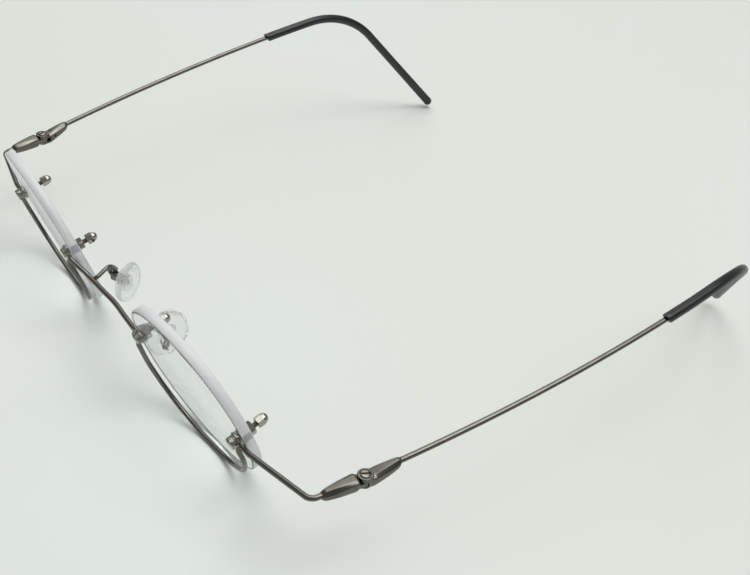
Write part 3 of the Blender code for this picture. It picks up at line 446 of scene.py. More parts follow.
def coatedResin():
    # CR-39 lens resin, cast and polished, with an antireflection coat: bends light and hardly mirrors
    m = newMaterial("coatedLensResin")
    bent = node(m, "ShaderNodeBsdfRefraction", {"Color": colour("#FCFDFD"), "Roughness": 0.0, "IOR": 1.4})
    gleam = node(m, "ShaderNodeBsdfGlossy", {"Color": colour("#F2F2F6"), "Roughness": 0.02})
    front = node(m, "ShaderNodeMixShader", {0: 0.05}, {1: (bent, 0), 2: (gleam, 0)})
    # nearly edge-on the coat turns to a soft sheen, whose share climbs to 92%
    sheen = node(m, "ShaderNodeBsdfGlossy", {"Color": colour("#F2F2F6"), "Roughness": 0.4})
    graze = node(m, "ShaderNodeLayerWeight", {"Blend": 0.5})
    share = node(m, "ShaderNodeMapRange", {"From Min": 0.83, "From Max": 0.95, "To Max": 0.92},
                 {"Value": (graze, "Facing")})
    body = node(m, "ShaderNodeMixShader", links={0: (share, "Result"), 1: (front, 0), 2: (sheen, 0)})
    return letLightPass(m, body, "#F4F5F5")


lensResin = coatedResin()
# clear nylon washers and bushes: a touch of haze
clearNylon = clearPlastic("clearNylon", "#F2F3F3", 1.52, 0.04, "#E2E2E0", 0.25)
# polycarbonate insert in the pad
clearInsert = clearPlastic("clearPolycarbonate", "#E2E4E3", 1.585, 0.03, "#D6D6D4", 0.2)
# silicone nose pad, moulded: clear with a soft skin
clearSilicone = clearPlastic("clearSilicone", "#FAFBFA", 1.41, 0.02, "#EDEFED", 0.45)
resinIor = 1.498


def groundEdge():
    # lens edge ground on a fine wheel and left satin: pale lavender grey, faint lines along the edge
    m = newMaterial("groundLensEdge")
    place = node(m, "ShaderNodeTexCoord")
    along = node(m, "ShaderNodeAttribute", {"attribute_name": "edgePlace"})
    bush = node(m, "ShaderNodeAttribute", {"attribute_name": "bushShade"})
    grit = node(m, "ShaderNodeTexNoise", {"Scale": 1 / (0.15 * mm), "Detail": 5.0},
                {"Vector": (place, "Object")})
    drawn = node(m, "ShaderNodeMapping", {"Scale": (0.06, 1.6, 1.0)}, {"Vector": (along, "Vector")})
    streak = node(m, "ShaderNodeTexNoise", {"Scale": 1.0, "Detail": 3.0}, {"Vector": (drawn, "Vector")})
    tones = [(0.3, "#DDDFE2"), (0.5, "#E7E8EB"), (0.7, "#EEEFF1")]
    tone = node(m, "ShaderNodeValToRGB", {"stops": tones}, {"Fac": (streak, "Fac")})
    # painted shade: the edge's tone turns to a darker grey where the bush behind it shows through the ground
    # edge
    shown = node(m, "ShaderNodeMix", {"data_type": "RGBA", 7: colour("#B2B3B8")},
                 {0: (bush, "Fac"), 6: (tone, "Color")})
    relief = node(m, "ShaderNodeBump", {"Strength": 0.3, "Distance": 0.02 * mm}, {"Height": (grit, "Fac")})
    satin = node(m, "ShaderNodeBsdfPrincipled",
                 {"Roughness": 0.5, "IOR": resinIor, "Transmission Weight": 0.05},
                 {"Base Color": (shown, 2), "Normal": (relief, "Normal")})
    # seen through the lens, the wall's inner side is painted: pale in front, with a painted dark shade along
    # its back corner
    inner = node(m, "ShaderNodeNewGeometry")
    apart = node(m, "ShaderNodeSeparateXYZ", links={"Vector": (along, "Vector")})
    paleTo, darkFrom = [depth.lens + lensSize.thick * share for share in (0.2, 0.5)]
    deep = node(m, "ShaderNodeMapRange", {"From Min": paleTo, "From Max": darkFrom},
                {"Value": (apart, "Y")})
    shades = [(0.0, "#D8DAD8"), (1.0, "#535754")]
    shade = node(m, "ShaderNodeValToRGB", {"stops": shades}, {"Fac": (deep, "Result")})
    paintedInnerShade = node(m, "ShaderNodeBsdfDiffuse", links={"Color": (shade, "Color")})
    links = {0: (inner, "Backfacing"), 1: (satin, 0), 2: (paintedInnerShade, 0)}
    return finishMaterial(m, node(m, "ShaderNodeMixShader", links=links))


def edgeLine():
    # the small bevel that breaks the edge's corner: pale outside, a painted dark shade when seen from inside
    # the lens
    m = newMaterial("lensEdgeBevel")
    inner = node(m, "ShaderNodeNewGeometry")
    pale = node(m, "ShaderNodeBsdfPrincipled",
                {"Base Color": colour("#D6D8DB"), "Roughness": 0.35, "IOR": resinIor})
    paintedInnerShade = node(m, "ShaderNodeBsdfDiffuse", {"Color": colour("#5C605D")})
    links = {0: (inner, "Backfacing"), 1: (pale, 0), 2: (paintedInnerShade, 0)}
    return finishMaterial(m, node(m, "ShaderNodeMixShader", links=links))


lensEdge = groundEdge()
lensBevel = edgeLine()
# heat-shrunk PVC sleeve, black: satin skin with a shallow orange-peel
sleeveSkin = twoTone("blackPvcSleeve", (9.0, 2.0), (0.7, 3.0), [(0.35, "#0D0E11"), (0.7, "#15161A")],
                     (0.3, 0.42), (0.25, 0.03), {"IOR": 1.53}, evenGloss=True)
print("materials made")


# faceRings: first and last share of the outline, and how many
lensMesh = dims(turns=480, holeTurns=40, faceRings=(0.04, 0.985, 26), ringTurns=150, fewestTurns=12,
                holeMargin=0.25, skin=0.02, weld=0.0005)
noTris = np.zeros((0, 3), int)


def lensFace(circles, holeRadius):
    # points on shrunken outlines, triangulated between the rim and the two holes
    rim = outline(circle(lensMesh.turns), lensSize.chamfer + lensMesh.skin)
    inner = [np.zeros((1, 2))]
    for share in np.linspace(*lensMesh.faceRings):
        count = max(int(lensMesh.ringTurns * share), lensMesh.fewestTurns)
        inner.append(outline(circle(count)) * share)
    inner = np.vstack(inner)
    for h in holes.values():
        inner = inner[np.linalg.norm(inner - h, axis=1) > holeRadius + lensMesh.holeMargin]
    edges, base = [], 0
    for size in [len(rim)] + [len(c) for c in circles]:
        at = np.arange(size)
        edges.append(np.stack([base + at, base + (at + 1) % size], 1))
        base += size
    points = [Vector(p) for p in np.vstack([rim] + circles + [inner])]
    out = delaunay_2d_cdt(points, [tuple(e) for e in np.vstack(edges).tolist()], [], 1, 1e-6)
    flat = np.array([tuple(v) for v in out[0]])
    tris = np.array(list(out[2]))
    for h in holes.values():
        tris = tris[np.linalg.norm(flat[tris].mean(1) - h, axis=1) > holeRadius * 0.98]
    area = np.cross(flat[tris[:, 1]] - flat[tris[:, 0]], flat[tris[:, 2]] - flat[tris[:, 0]])
    tris[area < 0] = tris[area < 0][:, ::-1]
    return flat, tris


def band(a, b):
    # two rings joined by a strip
    m = len(a)
    at = np.arange(m)
    nextAt = (at + 1) % m
    return np.vstack([a, b]), np.stack([at, m + at, m + nextAt, nextAt], 1), noTris


def lensShells():
    # both faces carry the bulge b (1 - (r/R)^2)^2; then two bevels, the wall and the two bores
    thick, c = lensSize.thick, lensSize.chamfer
    holeRadius = stack.screw / 2 + stack.sleeveWall + 2 * bore
    holeTurns = circle(lensMesh.holeTurns)
    around = holeRadius * np.stack([np.cos(holeTurns), np.sin(holeTurns)], 1)
    circles = [h + around for h in holes.values()]
    flat, tris = lensFace(circles, holeRadius)
    reach = min(abs(holes["nasal"][0]), holes["temporal"][0]) - stack.washer / 2
    share = np.minimum(np.linalg.norm(flat, axis=1) / reach, 1.0)
    bulge = lensSize.bulge * (1 - share**2) ** 2
    points = np.vstack([onLens(flat, depth.lens - bulge), onLens(flat, depth.lens + thick - bulge)])
    faces = (points, np.zeros((0, 4), int), np.vstack([tris, tris[:, ::-1] + len(flat)]))
    turns = circle(lensMesh.turns)
    levels = [(c, 0.0), (0.0, c), (0.0, thick - c), (c, thick)]
    rings = [onLens(outline(turns, inset + lensMesh.skin), depth.lens + d) for inset, d in levels]
    bores = []
    for ring in circles:
        v, q, t = band(onLens(ring, depth.lens), onLens(ring, depth.lens + thick))
        bores.append((v, q[:, ::-1], t))
    return [faces, band(rings[0], rings[1]), band(rings[2], rings[3]), band(rings[1], rings[2])] + bores


# how far above each hole its bush shows through the edge as a painted shade, half the height of that shade,
# and its soft border
paintedBushBand = dims(nasal=0.95, temporal=1.35, half=1.05, border=0.3)


def markEdge(lens):
    # two values for the ground edge: its own place (length round, depth) and a painted shade where a bush
    # shows through it
    count = len(lens.data.vertices)
    spots = np.empty(count * 3, np.float32)
    lens.data.vertices.foreach_get("co", spots)
    local = spots.reshape(-1, 3) / mm - shift - lensCentre
    x, y, d = local @ across, local @ upLens, local @ backward
    shade = np.zeros(count)
    for end, hole in holes.items():
        off = np.abs(y - hole[1] - paintedBushBand[end])
        near = smoothStep((paintedBushBand.half - off) / paintedBushBand.border)
        shade = np.maximum(shade, near * (np.sign(x) == np.sign(hole[0])))
    place = np.stack([np.arctan2(y, x) * lensSize.width / 2, d, 0 * d], 1)
    for name, kind, key, values in (("bushShade", "FLOAT", "value", shade),
                                    ("edgePlace", "FLOAT_VECTOR", "vector", place)):
        marks = lens.data.attributes.new(name, kind, "POINT")
        marks.data.foreach_set(key, values.astype(np.float32).ravel())


shellsOfLens = lensShells()
for side, flip in sides:
    lens = makeMesh(f"lensBody_{side}", shellsOfLens, [lensResin, lensEdge, lensBevel], [0, 2, 2, 1, 1, 1])
    markEdge(lens)
    weld = lens.modifiers.new("weld", "WELD")
    weld.merge_threshold = lensMesh.weld * mm
    settle(lens, "front", [f"lens_{side}"], flip)
print("lenses made")


def flatRing(outer, inner, start, thick, origin, soft=0.06):
    # a washer-like ring with softened corners
    profile = [(outer, -start - thick / 2), (outer, -start), (inner, -start), (inner, -start - thick),
               (outer, -start - thick), (outer, -start - thick / 2)]
    return turned(roundCorners(profile, soft)[:-1], origin, lensAxes, around=True)


def holeOrigin(end):
    # the middle of a hole at the depth of the screw faces
    return onLens(holes[end], 0.0)[0]


# the half rim follows the lens outline between two angles, and is pressed flat at both eyelets
rimShape = dims(inset=1.1, leaves=62 * deg, turns=(-10 * deg, -170 * deg, 15), steps=24, spacing=0.35,
                flatReach=1.3, flat=0.52)


def rimPath():
    # from the outer eyelet round below the lens to the inner one
    clear = stack.head / 2 + 2 * bore
    leave = rimShape.leaves
    start = holes["temporal"] + vec(cos(leave), -sin(leave)) * clear
    finish = holes["nasal"] + vec(-cos(leave), -sin(leave)) * clear
    knots = np.vstack([start, outline(np.linspace(*rimShape.turns), rimShape.inset), finish])
    return evenly(smoothPath(onLens(knots, depth.rim), rimShape.steps), rimShape.spacing)


def rimShells():
    # the bar thins and sinks to its eyelet as a smooth step of the length, at both ends
    path, at = rimPath()
    share = smoothStep(np.minimum(at, at[-1] - at) / rimShape.flatReach)
    sink = (depth.eyelet + stack.eyeletThick / 2 - depth.rim) * (1 - share)
    path = path + sink[:, None] * backward
    radius = wire.rim / 2
    flat = stack.eyeletThick * rimShape.flat
    bar = tube(path, flat + (radius - flat) * share, radius, hint=backward)
    size = (stack.eyelet / 2, screwBore, depth.eyelet, stack.eyeletThick)
    return [bar] + [flatRing(*size, holeOrigin(end)) for end in holes]


# the frame wire's first stretch is pressed flat, thinner and broader, where it runs into its boss
pressed = dims(reach=1.6, thin=0.5, broader=0.12, overlap=0.55, spacing=0.22, bossSoft=0.1)


def bossRing(end):
    # the flat eye at the end of a frame wire
    return flatRing(stack.boss / 2, screwBore, depth.boss, stack.bossThick, holeOrigin(end), pressed.bossSoft)


def wireStart(end, direction):
    # just clear of the eyelet, in the given direction on the lens
    clear = stack.eyelet / 2 + 2 * bore
    return onLens(holes[end] + direction * clear, depth.wire)[0]


def flattenedStart(path, at):
    # path, thin and wide half axes: a smooth step of the length from pressed to round
    share = smoothStep(at / pressed.reach)
    sink = (depth.boss + stack.bossThick / 2 - depth.wire) * (1 - share)
    radius = wire.frame / 2
    flat = stack.bossThick * pressed.thin
    wide = radius * (1 + pressed.broader * (1 - share))
    return path + sink[:, None] * backward, flat + (radius - flat) * share, wide


def blockFall(y):
    # the front block's centreline dips towards its nose
    return -np.maximum(-y - hinge.ear, 0) * tan(hinge.dip)


def blockRise(y):
    # the temple block's centreline climbs towards its nose
    return np.maximum(y - hinge.ear, 0) * tan(hinge.climb)


def endPieceShells():
    # from the boss straight over the lens edge, round the corner and into the hinge block
    socket = hinge.socket - hinge.frontReach - seat
    corner = onHinge(vec(0, -hinge.corner, blockFall(-hinge.corner)))[0]
    heel = onHinge(vec(0, socket, blockFall(socket)))[0]
    toCorner = corner - lensCentre
    out = unit(vec(toCorner @ across, toCorner @ upLens) - holes["temporal"])
    along = across * out[0] + upLens * out[1]
    start = wireStart("temporal", out)
    clearEdge = start + along * (holeAt.temporalInset + 0.5 * wire.frame)
    bend = filletPath(clearEdge, corner, heel, hinge.cornerRadius, 24)
    path, at = evenly(np.vstack([start, bend]), pressed.spacing)
    path = np.vstack([start - along * pressed.overlap, path])
    at = np.concatenate([[0], at + pressed.overlap])
    path, thin, wide = flattenedStart(path, at)
    return [tube(path, thin, wide, hint=backward), bossRing("temporal")]


bridgeSize = dims(leaves=24 * deg, straight=1.2, dip=3.1, setBack=2.2, shoulder=1.9, shoulderRise=0.75,
                  bow=0.5, armAt=9.4)


def bridgePath():
    # a smooth curve through both bosses, shoulders and arm places, and the way the wire leaves the boss
    b = bridgeSize
    inward = vec(-cos(b.leaves), -sin(b.leaves))
    along = across * inward[0] + upLens * inward[1]
    start = wireStart("nasal", inward)
    back, level = start[1] + b.setBack, start[2] - b.dip
    half = [start, start + along * b.straight,
            vec(b.armAt + b.shoulder, back - b.setBack / 4, level + b.shoulderRise),
            vec(b.armAt, back, level),
            vec(b.armAt / 2, back + b.bow / 2, level)]
    middle = vec(0, back + b.bow, level)
    return smoothPath(half + [middle] + [p * vec(-1, 1, 1) for p in half[::-1]], 32), along


def bridgeShells():
    # one half is carried from its boss to the middle, and the other is its mirror image
    path, along = bridgePath()
    path = np.vstack([path[0] - along * pressed.overlap, path[:len(path) // 2 + 1]])
    path, thin, wide = flattenedStart(*evenly(path, pressed.spacing))
    tangent, side, other = ringFrames(path, backward)
    tangent[-1] = vec(-1, 0, 0)
    side[-1] = unit(side[-1] * vec(0, 1, 1))
    other[-1] = np.cross(tangent[-1], side[-1])
    grid = ringsAlong(path, side, other, thin, wide, 28)
    twin = (grid * vec(-1, 1, 1))[::-1][1:]
    boss = bossRing("nasal")
    return [shell(np.concatenate([grid, twin])), boss, mirrored(boss)]


for side, flip in sides:
    rim = makeMesh(f"rimWire_{side}", rimShells(), [gunmetalWire, screwFace], [0, 1, 1])
    settle(rim, "front", [f"rim_wire_{side}"], flip)
    outer = makeMesh(f"endPiece_{side}", endPieceShells(), [gunmetalWire, screwFace], [0, 1])
    settle(outer, "front", [f"endpiece_{side}"], flip)
bridge = makeMesh("bridgeWire", bridgeShells(), [gunmetalWire, screwFace], [0, 1, 1])
settle(bridge, "front", ["bridge"], False)
print("front wires made")


# screwed is how far each nut was turned; bevel and flat are (length, steps) along the side
nutShape = dims(turns=144, screwed=13 * deg, bevel=(0.16, 9), flat=(0.2, 6), cone=0.985, slope=1.73,
                lip=0.08)
domeShape = dims(turns=144, screwed=49 * deg, bevel=(0.12, 7), flat=(0.2, 0.22, 8), topBevel=(0.18, 8),
                 cone=0.99, slope=1.5, topSlope=0.9, topEdge=0.01, lip=0.07, deep=1.25, pole=0.02,
                 ball=(4, 86, 18))


def hexRadius(turn, flats):
    # distance from the centre to a hexagon's side at each angle
    return flats / 2 / np.cos((turn + pi / 6) % (pi / 3) - pi / 6)


def hexNutShell(origin):
    # outer wall: the smaller of the hexagon and a 30 degree cone at both ends; inner wall: the bore
    s, flats, high = nutShape, stack.nutFlats, stack.nutHigh
    turn = circle(s.turns)
    (bevel, bevelSteps), (flat, flatSteps) = s.bevel, s.flat
    z = np.concatenate([np.linspace(0, bevel, bevelSteps), np.linspace(flat, high - flat, flatSteps),
                        np.linspace(high - bevel, high, bevelSteps)])
    near = np.minimum(z, high - z)[:, None]
    outer = np.minimum(hexRadius(turn + s.screwed, flats)[None], flats / 2 * s.cone + near * s.slope)
    inner = [np.full((1, s.turns), screwBore + wider) for wider in (0, s.lip)]
    radii = np.vstack(inner + [outer] + inner[::-1])
    heights = np.concatenate([[s.lip, 0.0], z, [high, high - s.lip]])
    return lathed(radii, -depth.nut - heights, turn, origin, lensAxes, around=True)


def domeNutShell(origin):
    # skirt: hexagon cut by a cone near its ends; then a half sphere on the hexagon's inner circle
    s, radius = domeShape, stack.domeFlats / 2
    skirt = stack.domeHigh - radius
    turn = circle(s.turns)
    flat, topFlat, flatSteps = s.flat
    z = np.concatenate([np.linspace(0, *s.bevel), np.linspace(flat, skirt - topFlat, flatSteps),
                        np.linspace(skirt - s.topBevel[0], skirt, s.topBevel[1])])
    cut = np.minimum(z * s.slope, (skirt - z) * s.topSlope + s.topEdge)[:, None]
    outer = np.minimum(hexRadius(turn + s.screwed, stack.domeFlats)[None], radius * s.cone + cut)
    arc = np.linspace(*s.ball) * deg
    ball = (radius * s.cone * np.cos(arc))[:, None] + 0 * turn
    inner = [np.full((1, s.turns), r) for r in (s.pole, screwBore, screwBore, screwBore + s.lip)]
    radii = np.vstack(inner + [outer, ball])
    heights = np.concatenate([[s.deep, s.deep, s.lip, 0.0], z, skirt + radius * np.sin(arc)])
    return lathed(radii, -depth.dome - heights, turn, origin, lensAxes)


threadShape = dims(pitch=0.25, deep=0.1, step=0.03, turns=36, fade=0.2, first=0.1, last=1.1)


def threadShell(origin):
    # helical thread: radius less a triangle wave of (height / pitch - angle / turn), fading at its end
    s = threadShape
    end = depth.dome + s.last
    z = np.arange(depth.nut + s.first, end, s.step)
    turn = circle(s.turns)
    phase = (z[:, None] / s.pitch - turn[None] / (2 * np.pi)) % 1.0
    fade = np.clip((end - z) / s.fade, 0, 1)[:, None]
    radii = stack.screw / 2 - s.deep * np.abs(2 * phase - 1) - s.deep * (1 - fade)
    return lathed(radii, -z, turn, origin, lensAxes)


# the outer screws have broader heads and were driven less deep
proud = {"nasal": 0.0, "temporal": 0.5}
broader = {"nasal": 1.0, "temporal": 1.2}
# crown: (share of the radius, height) from the middle to the shoulder
headShape = dims(crown=((0.6, -0.01), (0.94, -0.05), (1.0, -0.2)), soft=0.08, pastNut=0.3,
                 slotHalf=0.16, slotDeep=0.28)


def screwHead(name, end, origin):
    # pan head: low crown, rounded shoulder, flat seat, a plain neck down through the lens, and a slot
    face = origin - backward * proud[end]
    r, high = stack.head / 2 * broader[end], stack.headHigh + proud[end]
    neck, reach = stack.screw / 2, -depth.nut - headShape.pastNut - proud[end]
    crown = [(share * r, height) for share, height in headShape.crown]
    profile = [(0.0, 0.0)] + crown + [(r, -high), (neck, -high), (neck, reach), (0.0, reach)]
    body = turned(roundCorners(profile, headShape.soft)[1:-1], face, lensAxes)
    screw = makeMesh(name, [body], [screwFace])
    half = headShape.slotHalf
    carve(screw, boxShell((-half, -2.0, -headShape.slotDeep), (half, 2.0, 0.4), face, lensAxes))
    return screw


washerSoft = 0.04
for side, flip in sides:
    for end in holes:
        origin, tail = holeOrigin(end), f"{end}_{side}"
        screw = screwHead(f"screwHead_{tail}", end, origin)
        settle(screw, "front", [f"lens_screw_{tail}"], flip)
        turnedPieces = (("screwThread", threadShell, oiledThread, []),
                        ("hexNut", hexNutShell, nickelNut, [f"hex_nut_{tail}"]),
                        ("domeNut", domeNutShell, nickelNut, [f"dome_nut_{tail}"]))
        for name, build, finish, solids in turnedPieces:
            item = makeMesh(f"{name}_{tail}", [build(origin)], [finish])
            settle(item, "front", solids, flip)
        for place, start in (("front", depth.washer), ("rear", depth.rearWasher)):
            ring = flatRing(stack.washer / 2, screwBore, start, stack.washerThick, origin, washerSoft)
            washer = makeMesh(f"washer_{place}_{tail}", [ring], [clearNylon])
            settle(washer, "front", [f"washer_{place}_{tail}"], flip)
        sleeve = flatRing(screwBore + stack.sleeveWall, screwBore, depth.lens, lensSize.thick, origin,
                          washerSoft)
        bush = makeMesh(f"holeBush_{tail}", [sleeve], [clearNylon])
        settle(bush, "front", [f"hole_bush_{tail}"], flip)
print("fasteners made")


# section: half the flat top and the slope's drop at the nose, and how much each grows to the heel,
# then the corners below, all as shares of the width and the height
blockShape = dims(top=(0.16, 0.1), slope=(0.1, 0.28), brow=0.49,
                  corners=((0.5, -0.12), (0.44, -0.36), (0.32, -0.5)), soft=0.07, steps=48, crowd=1.5,
                  swell=0.68, nose=0.62, noseLength=0.9, heelCut=0.12, heelLength=0.3, eased=0.08)


def blockSection(share):
    # flat top that widens from nose to heel, a slope beside it that shrinks, an upright side
    s = blockShape
    top, slope = s.top[0] + s.top[1] * share, s.slope[0] + s.slope[1] * share
    corner = [(top, 0.5), (s.brow, slope)] + list(s.corners)
    ring = corner + [(-x, z) for x, z in reversed(corner)]
    return roundCorners([ring[-1]] + ring + [ring[0]], s.soft)[1:-1]


def blockLoft(nose, heel, lift):
    # a boat: width and height swell as a quarter sine; the nose is rounded off, the heel's edge is broken
    s = blockShape
    share = np.linspace(0, 1, s.steps) ** s.crowd
    swell = np.sin(pi / 2 * share ** s.swell)
    y = nose + (heel - nose) * share
    fromNose = np.clip(np.abs(y - nose) / s.noseLength, 0, 1)
    rounded = s.nose + (1 - s.nose) * np.sqrt(1 - (1 - fromNose) ** 2)
    if heel:
        rounded = rounded * (1 - s.heelCut * np.clip(1 - np.abs(heel - y) / s.heelLength, 0, 1))
    width = (hinge.nose + (hinge.width - hinge.nose) * swell) * rounded
    tall = (hinge.nose + (hinge.tall - hinge.nose) * swell) * rounded
    section = np.stack([blockSection(part) for part in share])
    x, z = section[:, :, 0] * width[:, None], section[:, :, 1] * tall[:, None] + lift(y)[:, None]
    grid = np.stack([x, y[:, None] + 0 * x, z], -1)
    return shell(onHinge(grid.reshape(-1, 3)).reshape(grid.shape))


def hingeDisc(radius, low, high, count=64):
    # a plug about the hinge's axis
    return disc(radius, low, high, hingePoint, hingeAxes, count)


def hingeBox(low, high):
    # a block along the hinge's axes
    return boxShell(low, high, hingePoint, hingeAxes)


def socketShell(mouth, direction):
    # blind bore for a wire, from outside the mouth inwards
    direction = unit(direction)
    a = unit(np.cross(direction, vec(1, 0, 0.2)))
    axes = (a, np.cross(direction, a), direction)
    return disc(wireBore, -hinge.socket, hinge.socket, mouth, axes)


temple = dims(climb=10.1 * deg, bendAt=95.6, leg=49.4, bendRadius=24.3, bow=440.0,
              sleeveAt=69.2, sleeve=2.3, sleeveEnd=2.6, slant=0.6, socket=8.0)


def templePoint(distance):
    # the temple's centreline: level parabola inwards, steady climb
    run = np.asarray(distance, float) - hinge.rearReach
    inward = -np.maximum(run, 0) ** 2 / (2 * temple.bow)
    rise = blockRise(hinge.rearReach) + run * sin(temple.climb)
    return np.stack([inward, hinge.rearReach + run * cos(temple.climb), rise], -1)


hingeScrew = dims(shank=0.9, head=1.9, headHigh=0.4, sunk=0.25, smaller=0.04, crown=0.06, crownShare=0.7,
                  soft=0.09, slotTurn=70 * deg, slotHalf=0.21, slotDeep=0.3)
# barrel: (share of the ear's radius, share of the height) up the side of the temple block's round end
knuckle = dims(swing=0.12, well=0.13, soft=0.1, sideHole=0.3, sideHoleAt=2.9, sideHoleDeep=2.0,
               barrel=((0.7, -0.5), (0.92, -0.36), (1.0, -0.12), (1.0, 0.44), (0.95, 0.5)))
tall = hinge.tall
hingeBore = hingeScrew.shank / 2 + bore
sunk = tall / 2 - hingeScrew.sunk


def frontBlock(name):
    # boat, tongue with its round end, the screw's bore, and the wire's socket
    heel = -(hinge.ear + hinge.gap)
    half, tongue = hinge.tongueThick / 2, hinge.tongue
    block = makeMesh(name, [blockLoft(-hinge.frontReach, heel, blockFall)], [satinBlock])
    carve(block, hingeBox((-tongue, heel - 0.5, -half), (tongue, 0, half)), hingeDisc(tongue, -half, half),
          operation="UNION")
    mouth = onHinge(vec(0, -hinge.frontReach, blockFall(-hinge.frontReach)))[0]
    into = turnZ @ vec(0, -cos(hinge.dip), -sin(hinge.dip))
    carve(block, hingeDisc(hingeBore, -tall, tall, 32), socketShell(mouth, into))
    return easeEdges(block, blockShape.eased)


def rearBlock(name):
    # boat with a barrel end, slot for the tongue, bore and well for the screw, side hole, wire's socket
    block = makeMesh(name, [blockLoft(hinge.rearReach, 0, blockRise)], [satinBlock])
    side = [(share * hinge.ear, height * tall) for share, height in knuckle.barrel]
    barrel = roundCorners([(0, -tall / 2)] + side + [(0, tall / 2)], knuckle.soft)[1:-1]
    carve(block, turned(barrel, hingePoint, hingeAxes, 64), operation="UNION")
    slot = hinge.tongueThick / 2 + hinge.tongueClear
    swing = hinge.tongue + knuckle.swing
    sideAt = onHinge(vec(-hinge.width / 2, knuckle.sideHoleAt, blockRise(knuckle.sideHoleAt)))[0]
    sideAxes = (hingeAxes[1], -hingeAxes[2], -hingeAxes[0])
    noseAt = vec(0, hinge.rearReach, blockRise(hinge.rearReach))
    inner = templePoint(hinge.rearReach - hinge.socket)
    carve(block, hingeDisc(swing, -slot, slot), hingeBox((-6, -6, -slot), (6, 0, slot)),
          hingeBox((-6, -6, -slot), (0, swing, slot)), hingeDisc(hingeBore, -tall, tall, 32),
          hingeDisc(hingeScrew.head / 2 + knuckle.well, sunk, tall),
          disc(knuckle.sideHole, -0.5, knuckle.sideHoleDeep, sideAt, sideAxes),
          socketShell(onHinge(noseAt)[0], turnZ @ (noseAt - inner)))
    return easeEdges(block, blockShape.eased)


def hingeScrewHead(name):
    # shank, sunk cheese head with a low crown, and its slot turned as it was left
    s = hingeScrew
    under = sunk + seat
    top = under + s.headHigh
    r, shank = s.head / 2 - s.smaller, s.shank / 2
    profile = [(0, -tall / 2), (shank, -tall / 2), (shank, under), (r, under), (r, top - s.crown),
               (r * s.crownShare, top), (0, top)]
    body = turned(roundCorners(profile, s.soft)[1:-1], hingePoint, hingeAxes)
    screw = makeMesh(name, [body], [rubbedHead])
    c, sn = cos(s.slotTurn), sin(s.slotTurn)
    spin = (hingeAxes[0] * c + hingeAxes[1] * sn, hingeAxes[1] * c - hingeAxes[0] * sn, hingeAxes[2])
    carve(screw, boxShell((-2, -s.slotHalf, top - s.slotDeep), (2, s.slotHalf, top + 1), hingePoint, spin))
    return screw


for side, flip in sides:
    settle(frontBlock(f"hingeBlock_{side}"), "front", [f"hinge_block_{side}"], flip)
    settle(rearBlock(f"templeBlock_{side}"), f"temple_{side}", [f"temple_block_{side}"], flip)
    screw = hingeScrewHead(f"hingeScrew_{side}")
    settle(screw, f"temple_{side}", [f"hinge_screw_{side}"], flip)
print("hinges made")


def templeWireShell():
    # from the socket in the block to the end of the sleeve's bore
    start = hinge.rearReach - hinge.socket + 2 * seat
    end = temple.sleeveAt + temple.socket - 2 * seat
    path = onHinge(templePoint(np.linspace(start, end, 120)))
    return tube(path, wire.frame / 2, wire.frame / 2)


# the tips were bent by hand: toe-in of the leg, and how far the tip stands off the table
tipBend = {"left": (33.2 * deg, 2.0), "right": (6.2 * deg, 0.0)}
# the sleeve swells over its last part; lip: (share of the radius or step past the bore, step inwards)
tipShape = dims(skin=0.03, swellFrom=0.55, swellPower=1.5, turns=32, spacing=0.6, slantRings=(2, 8),
                boreDeep=3.0, lip=0.06, ball=(8, 86, 12))


def tipPath(toeIn, lifted):
    # straight lead, bend and leg, ending where its lowest point stands off the table by the given height
    bend = templePoint(temple.bendAt)
    drop = bend[2] + hinge.height - temple.sleeveEnd / 2 - lifted
    level = sqrt(temple.leg**2 - drop**2)
    inward = toeIn + hinge.splay
    end = bend + vec(-sin(inward) * level, cos(inward) * level, -drop)
    sleeveEnd = temple.sleeveAt + temple.socket
    arc = filletPath(templePoint(sleeveEnd), bend, end, temple.bendRadius, 40)
    lead = templePoint(np.linspace(temple.sleeveAt, sleeveEnd, 12))[:-1]
    return *evenly(np.vstack([lead, arc]), tipShape.spacing), end


def tipShell(toeIn, lifted):
    # one closed skin: up the bore to the slanted mouth, over its lip, along the outside to the domed end
    path, at, end = tipPath(toeIn, lifted)
    s, total = tipShape, at[-1]
    fuller, slim = temple.sleeveEnd / 2 - s.skin, temple.sleeve / 2 - s.skin
    swell = np.clip((at - total * s.swellFrom) / (total * (1 - s.swellFrom)), 0, 1) ** s.swellPower
    radius = (slim + (fuller - slim) * swell)[:-2]
    path = onHinge(path[:-2])
    tangent, side, other = ringFrames(path, vec(0, 0, 1))
    turn = circle(s.turns)[None, :, None]
    ring = side[:, None] * np.cos(turn) + other[:, None] * np.sin(turn)
    body = path[:, None] + ring * radius[:, None, None]
    lean = -tangent[0] * (temple.slant * (ring[0] @ vec(0, 0, 1)))[:, None]
    # bore, lip and shoulder: (radius, step along the sleeve)
    mouth = [(wireBore, s.boreDeep), (wireBore, 0.25), (wireBore + s.lip, 0.05),
             (radius[0] * 0.8, 0.0), (radius[0] * 0.95, 0.05), (radius[0], 0.2)]
    front = [path[0] + (ring[0] + lean / radius[0]) * size + tangent[0] * step for size, step in mouth]
    first, last = s.slantRings
    fade = np.clip(1 - at[first:last] / at[last], 0, 1)[:, None, None]
    body[first:last] = body[first:last] + lean[None] * fade
    reach = np.linalg.norm(onHinge(end)[0] - path[-1]) - s.skin
    arc = (np.linspace(*s.ball) * deg)[:, None, None]
    cap = path[-1] + tangent[-1] * reach * np.sin(arc) + ring[-1] * radius[-1] * np.cos(arc)
    return shell(np.concatenate([np.array(front), body[first:], cap]))


for side, flip in sides:
    bar = makeMesh(f"templeWire_{side}", [templeWireShell()], [gunmetalWire])
    settle(bar, f"temple_{side}", [f"temple_wire_{side}"], flip)
    tip = makeMesh(f"templeTip_{side}", [tipShell(*tipBend[side])], [sleeveSkin])
    settle(tip, f"temple_{side}", [f"temple_tip_{side}"], flip)
print("temples made")


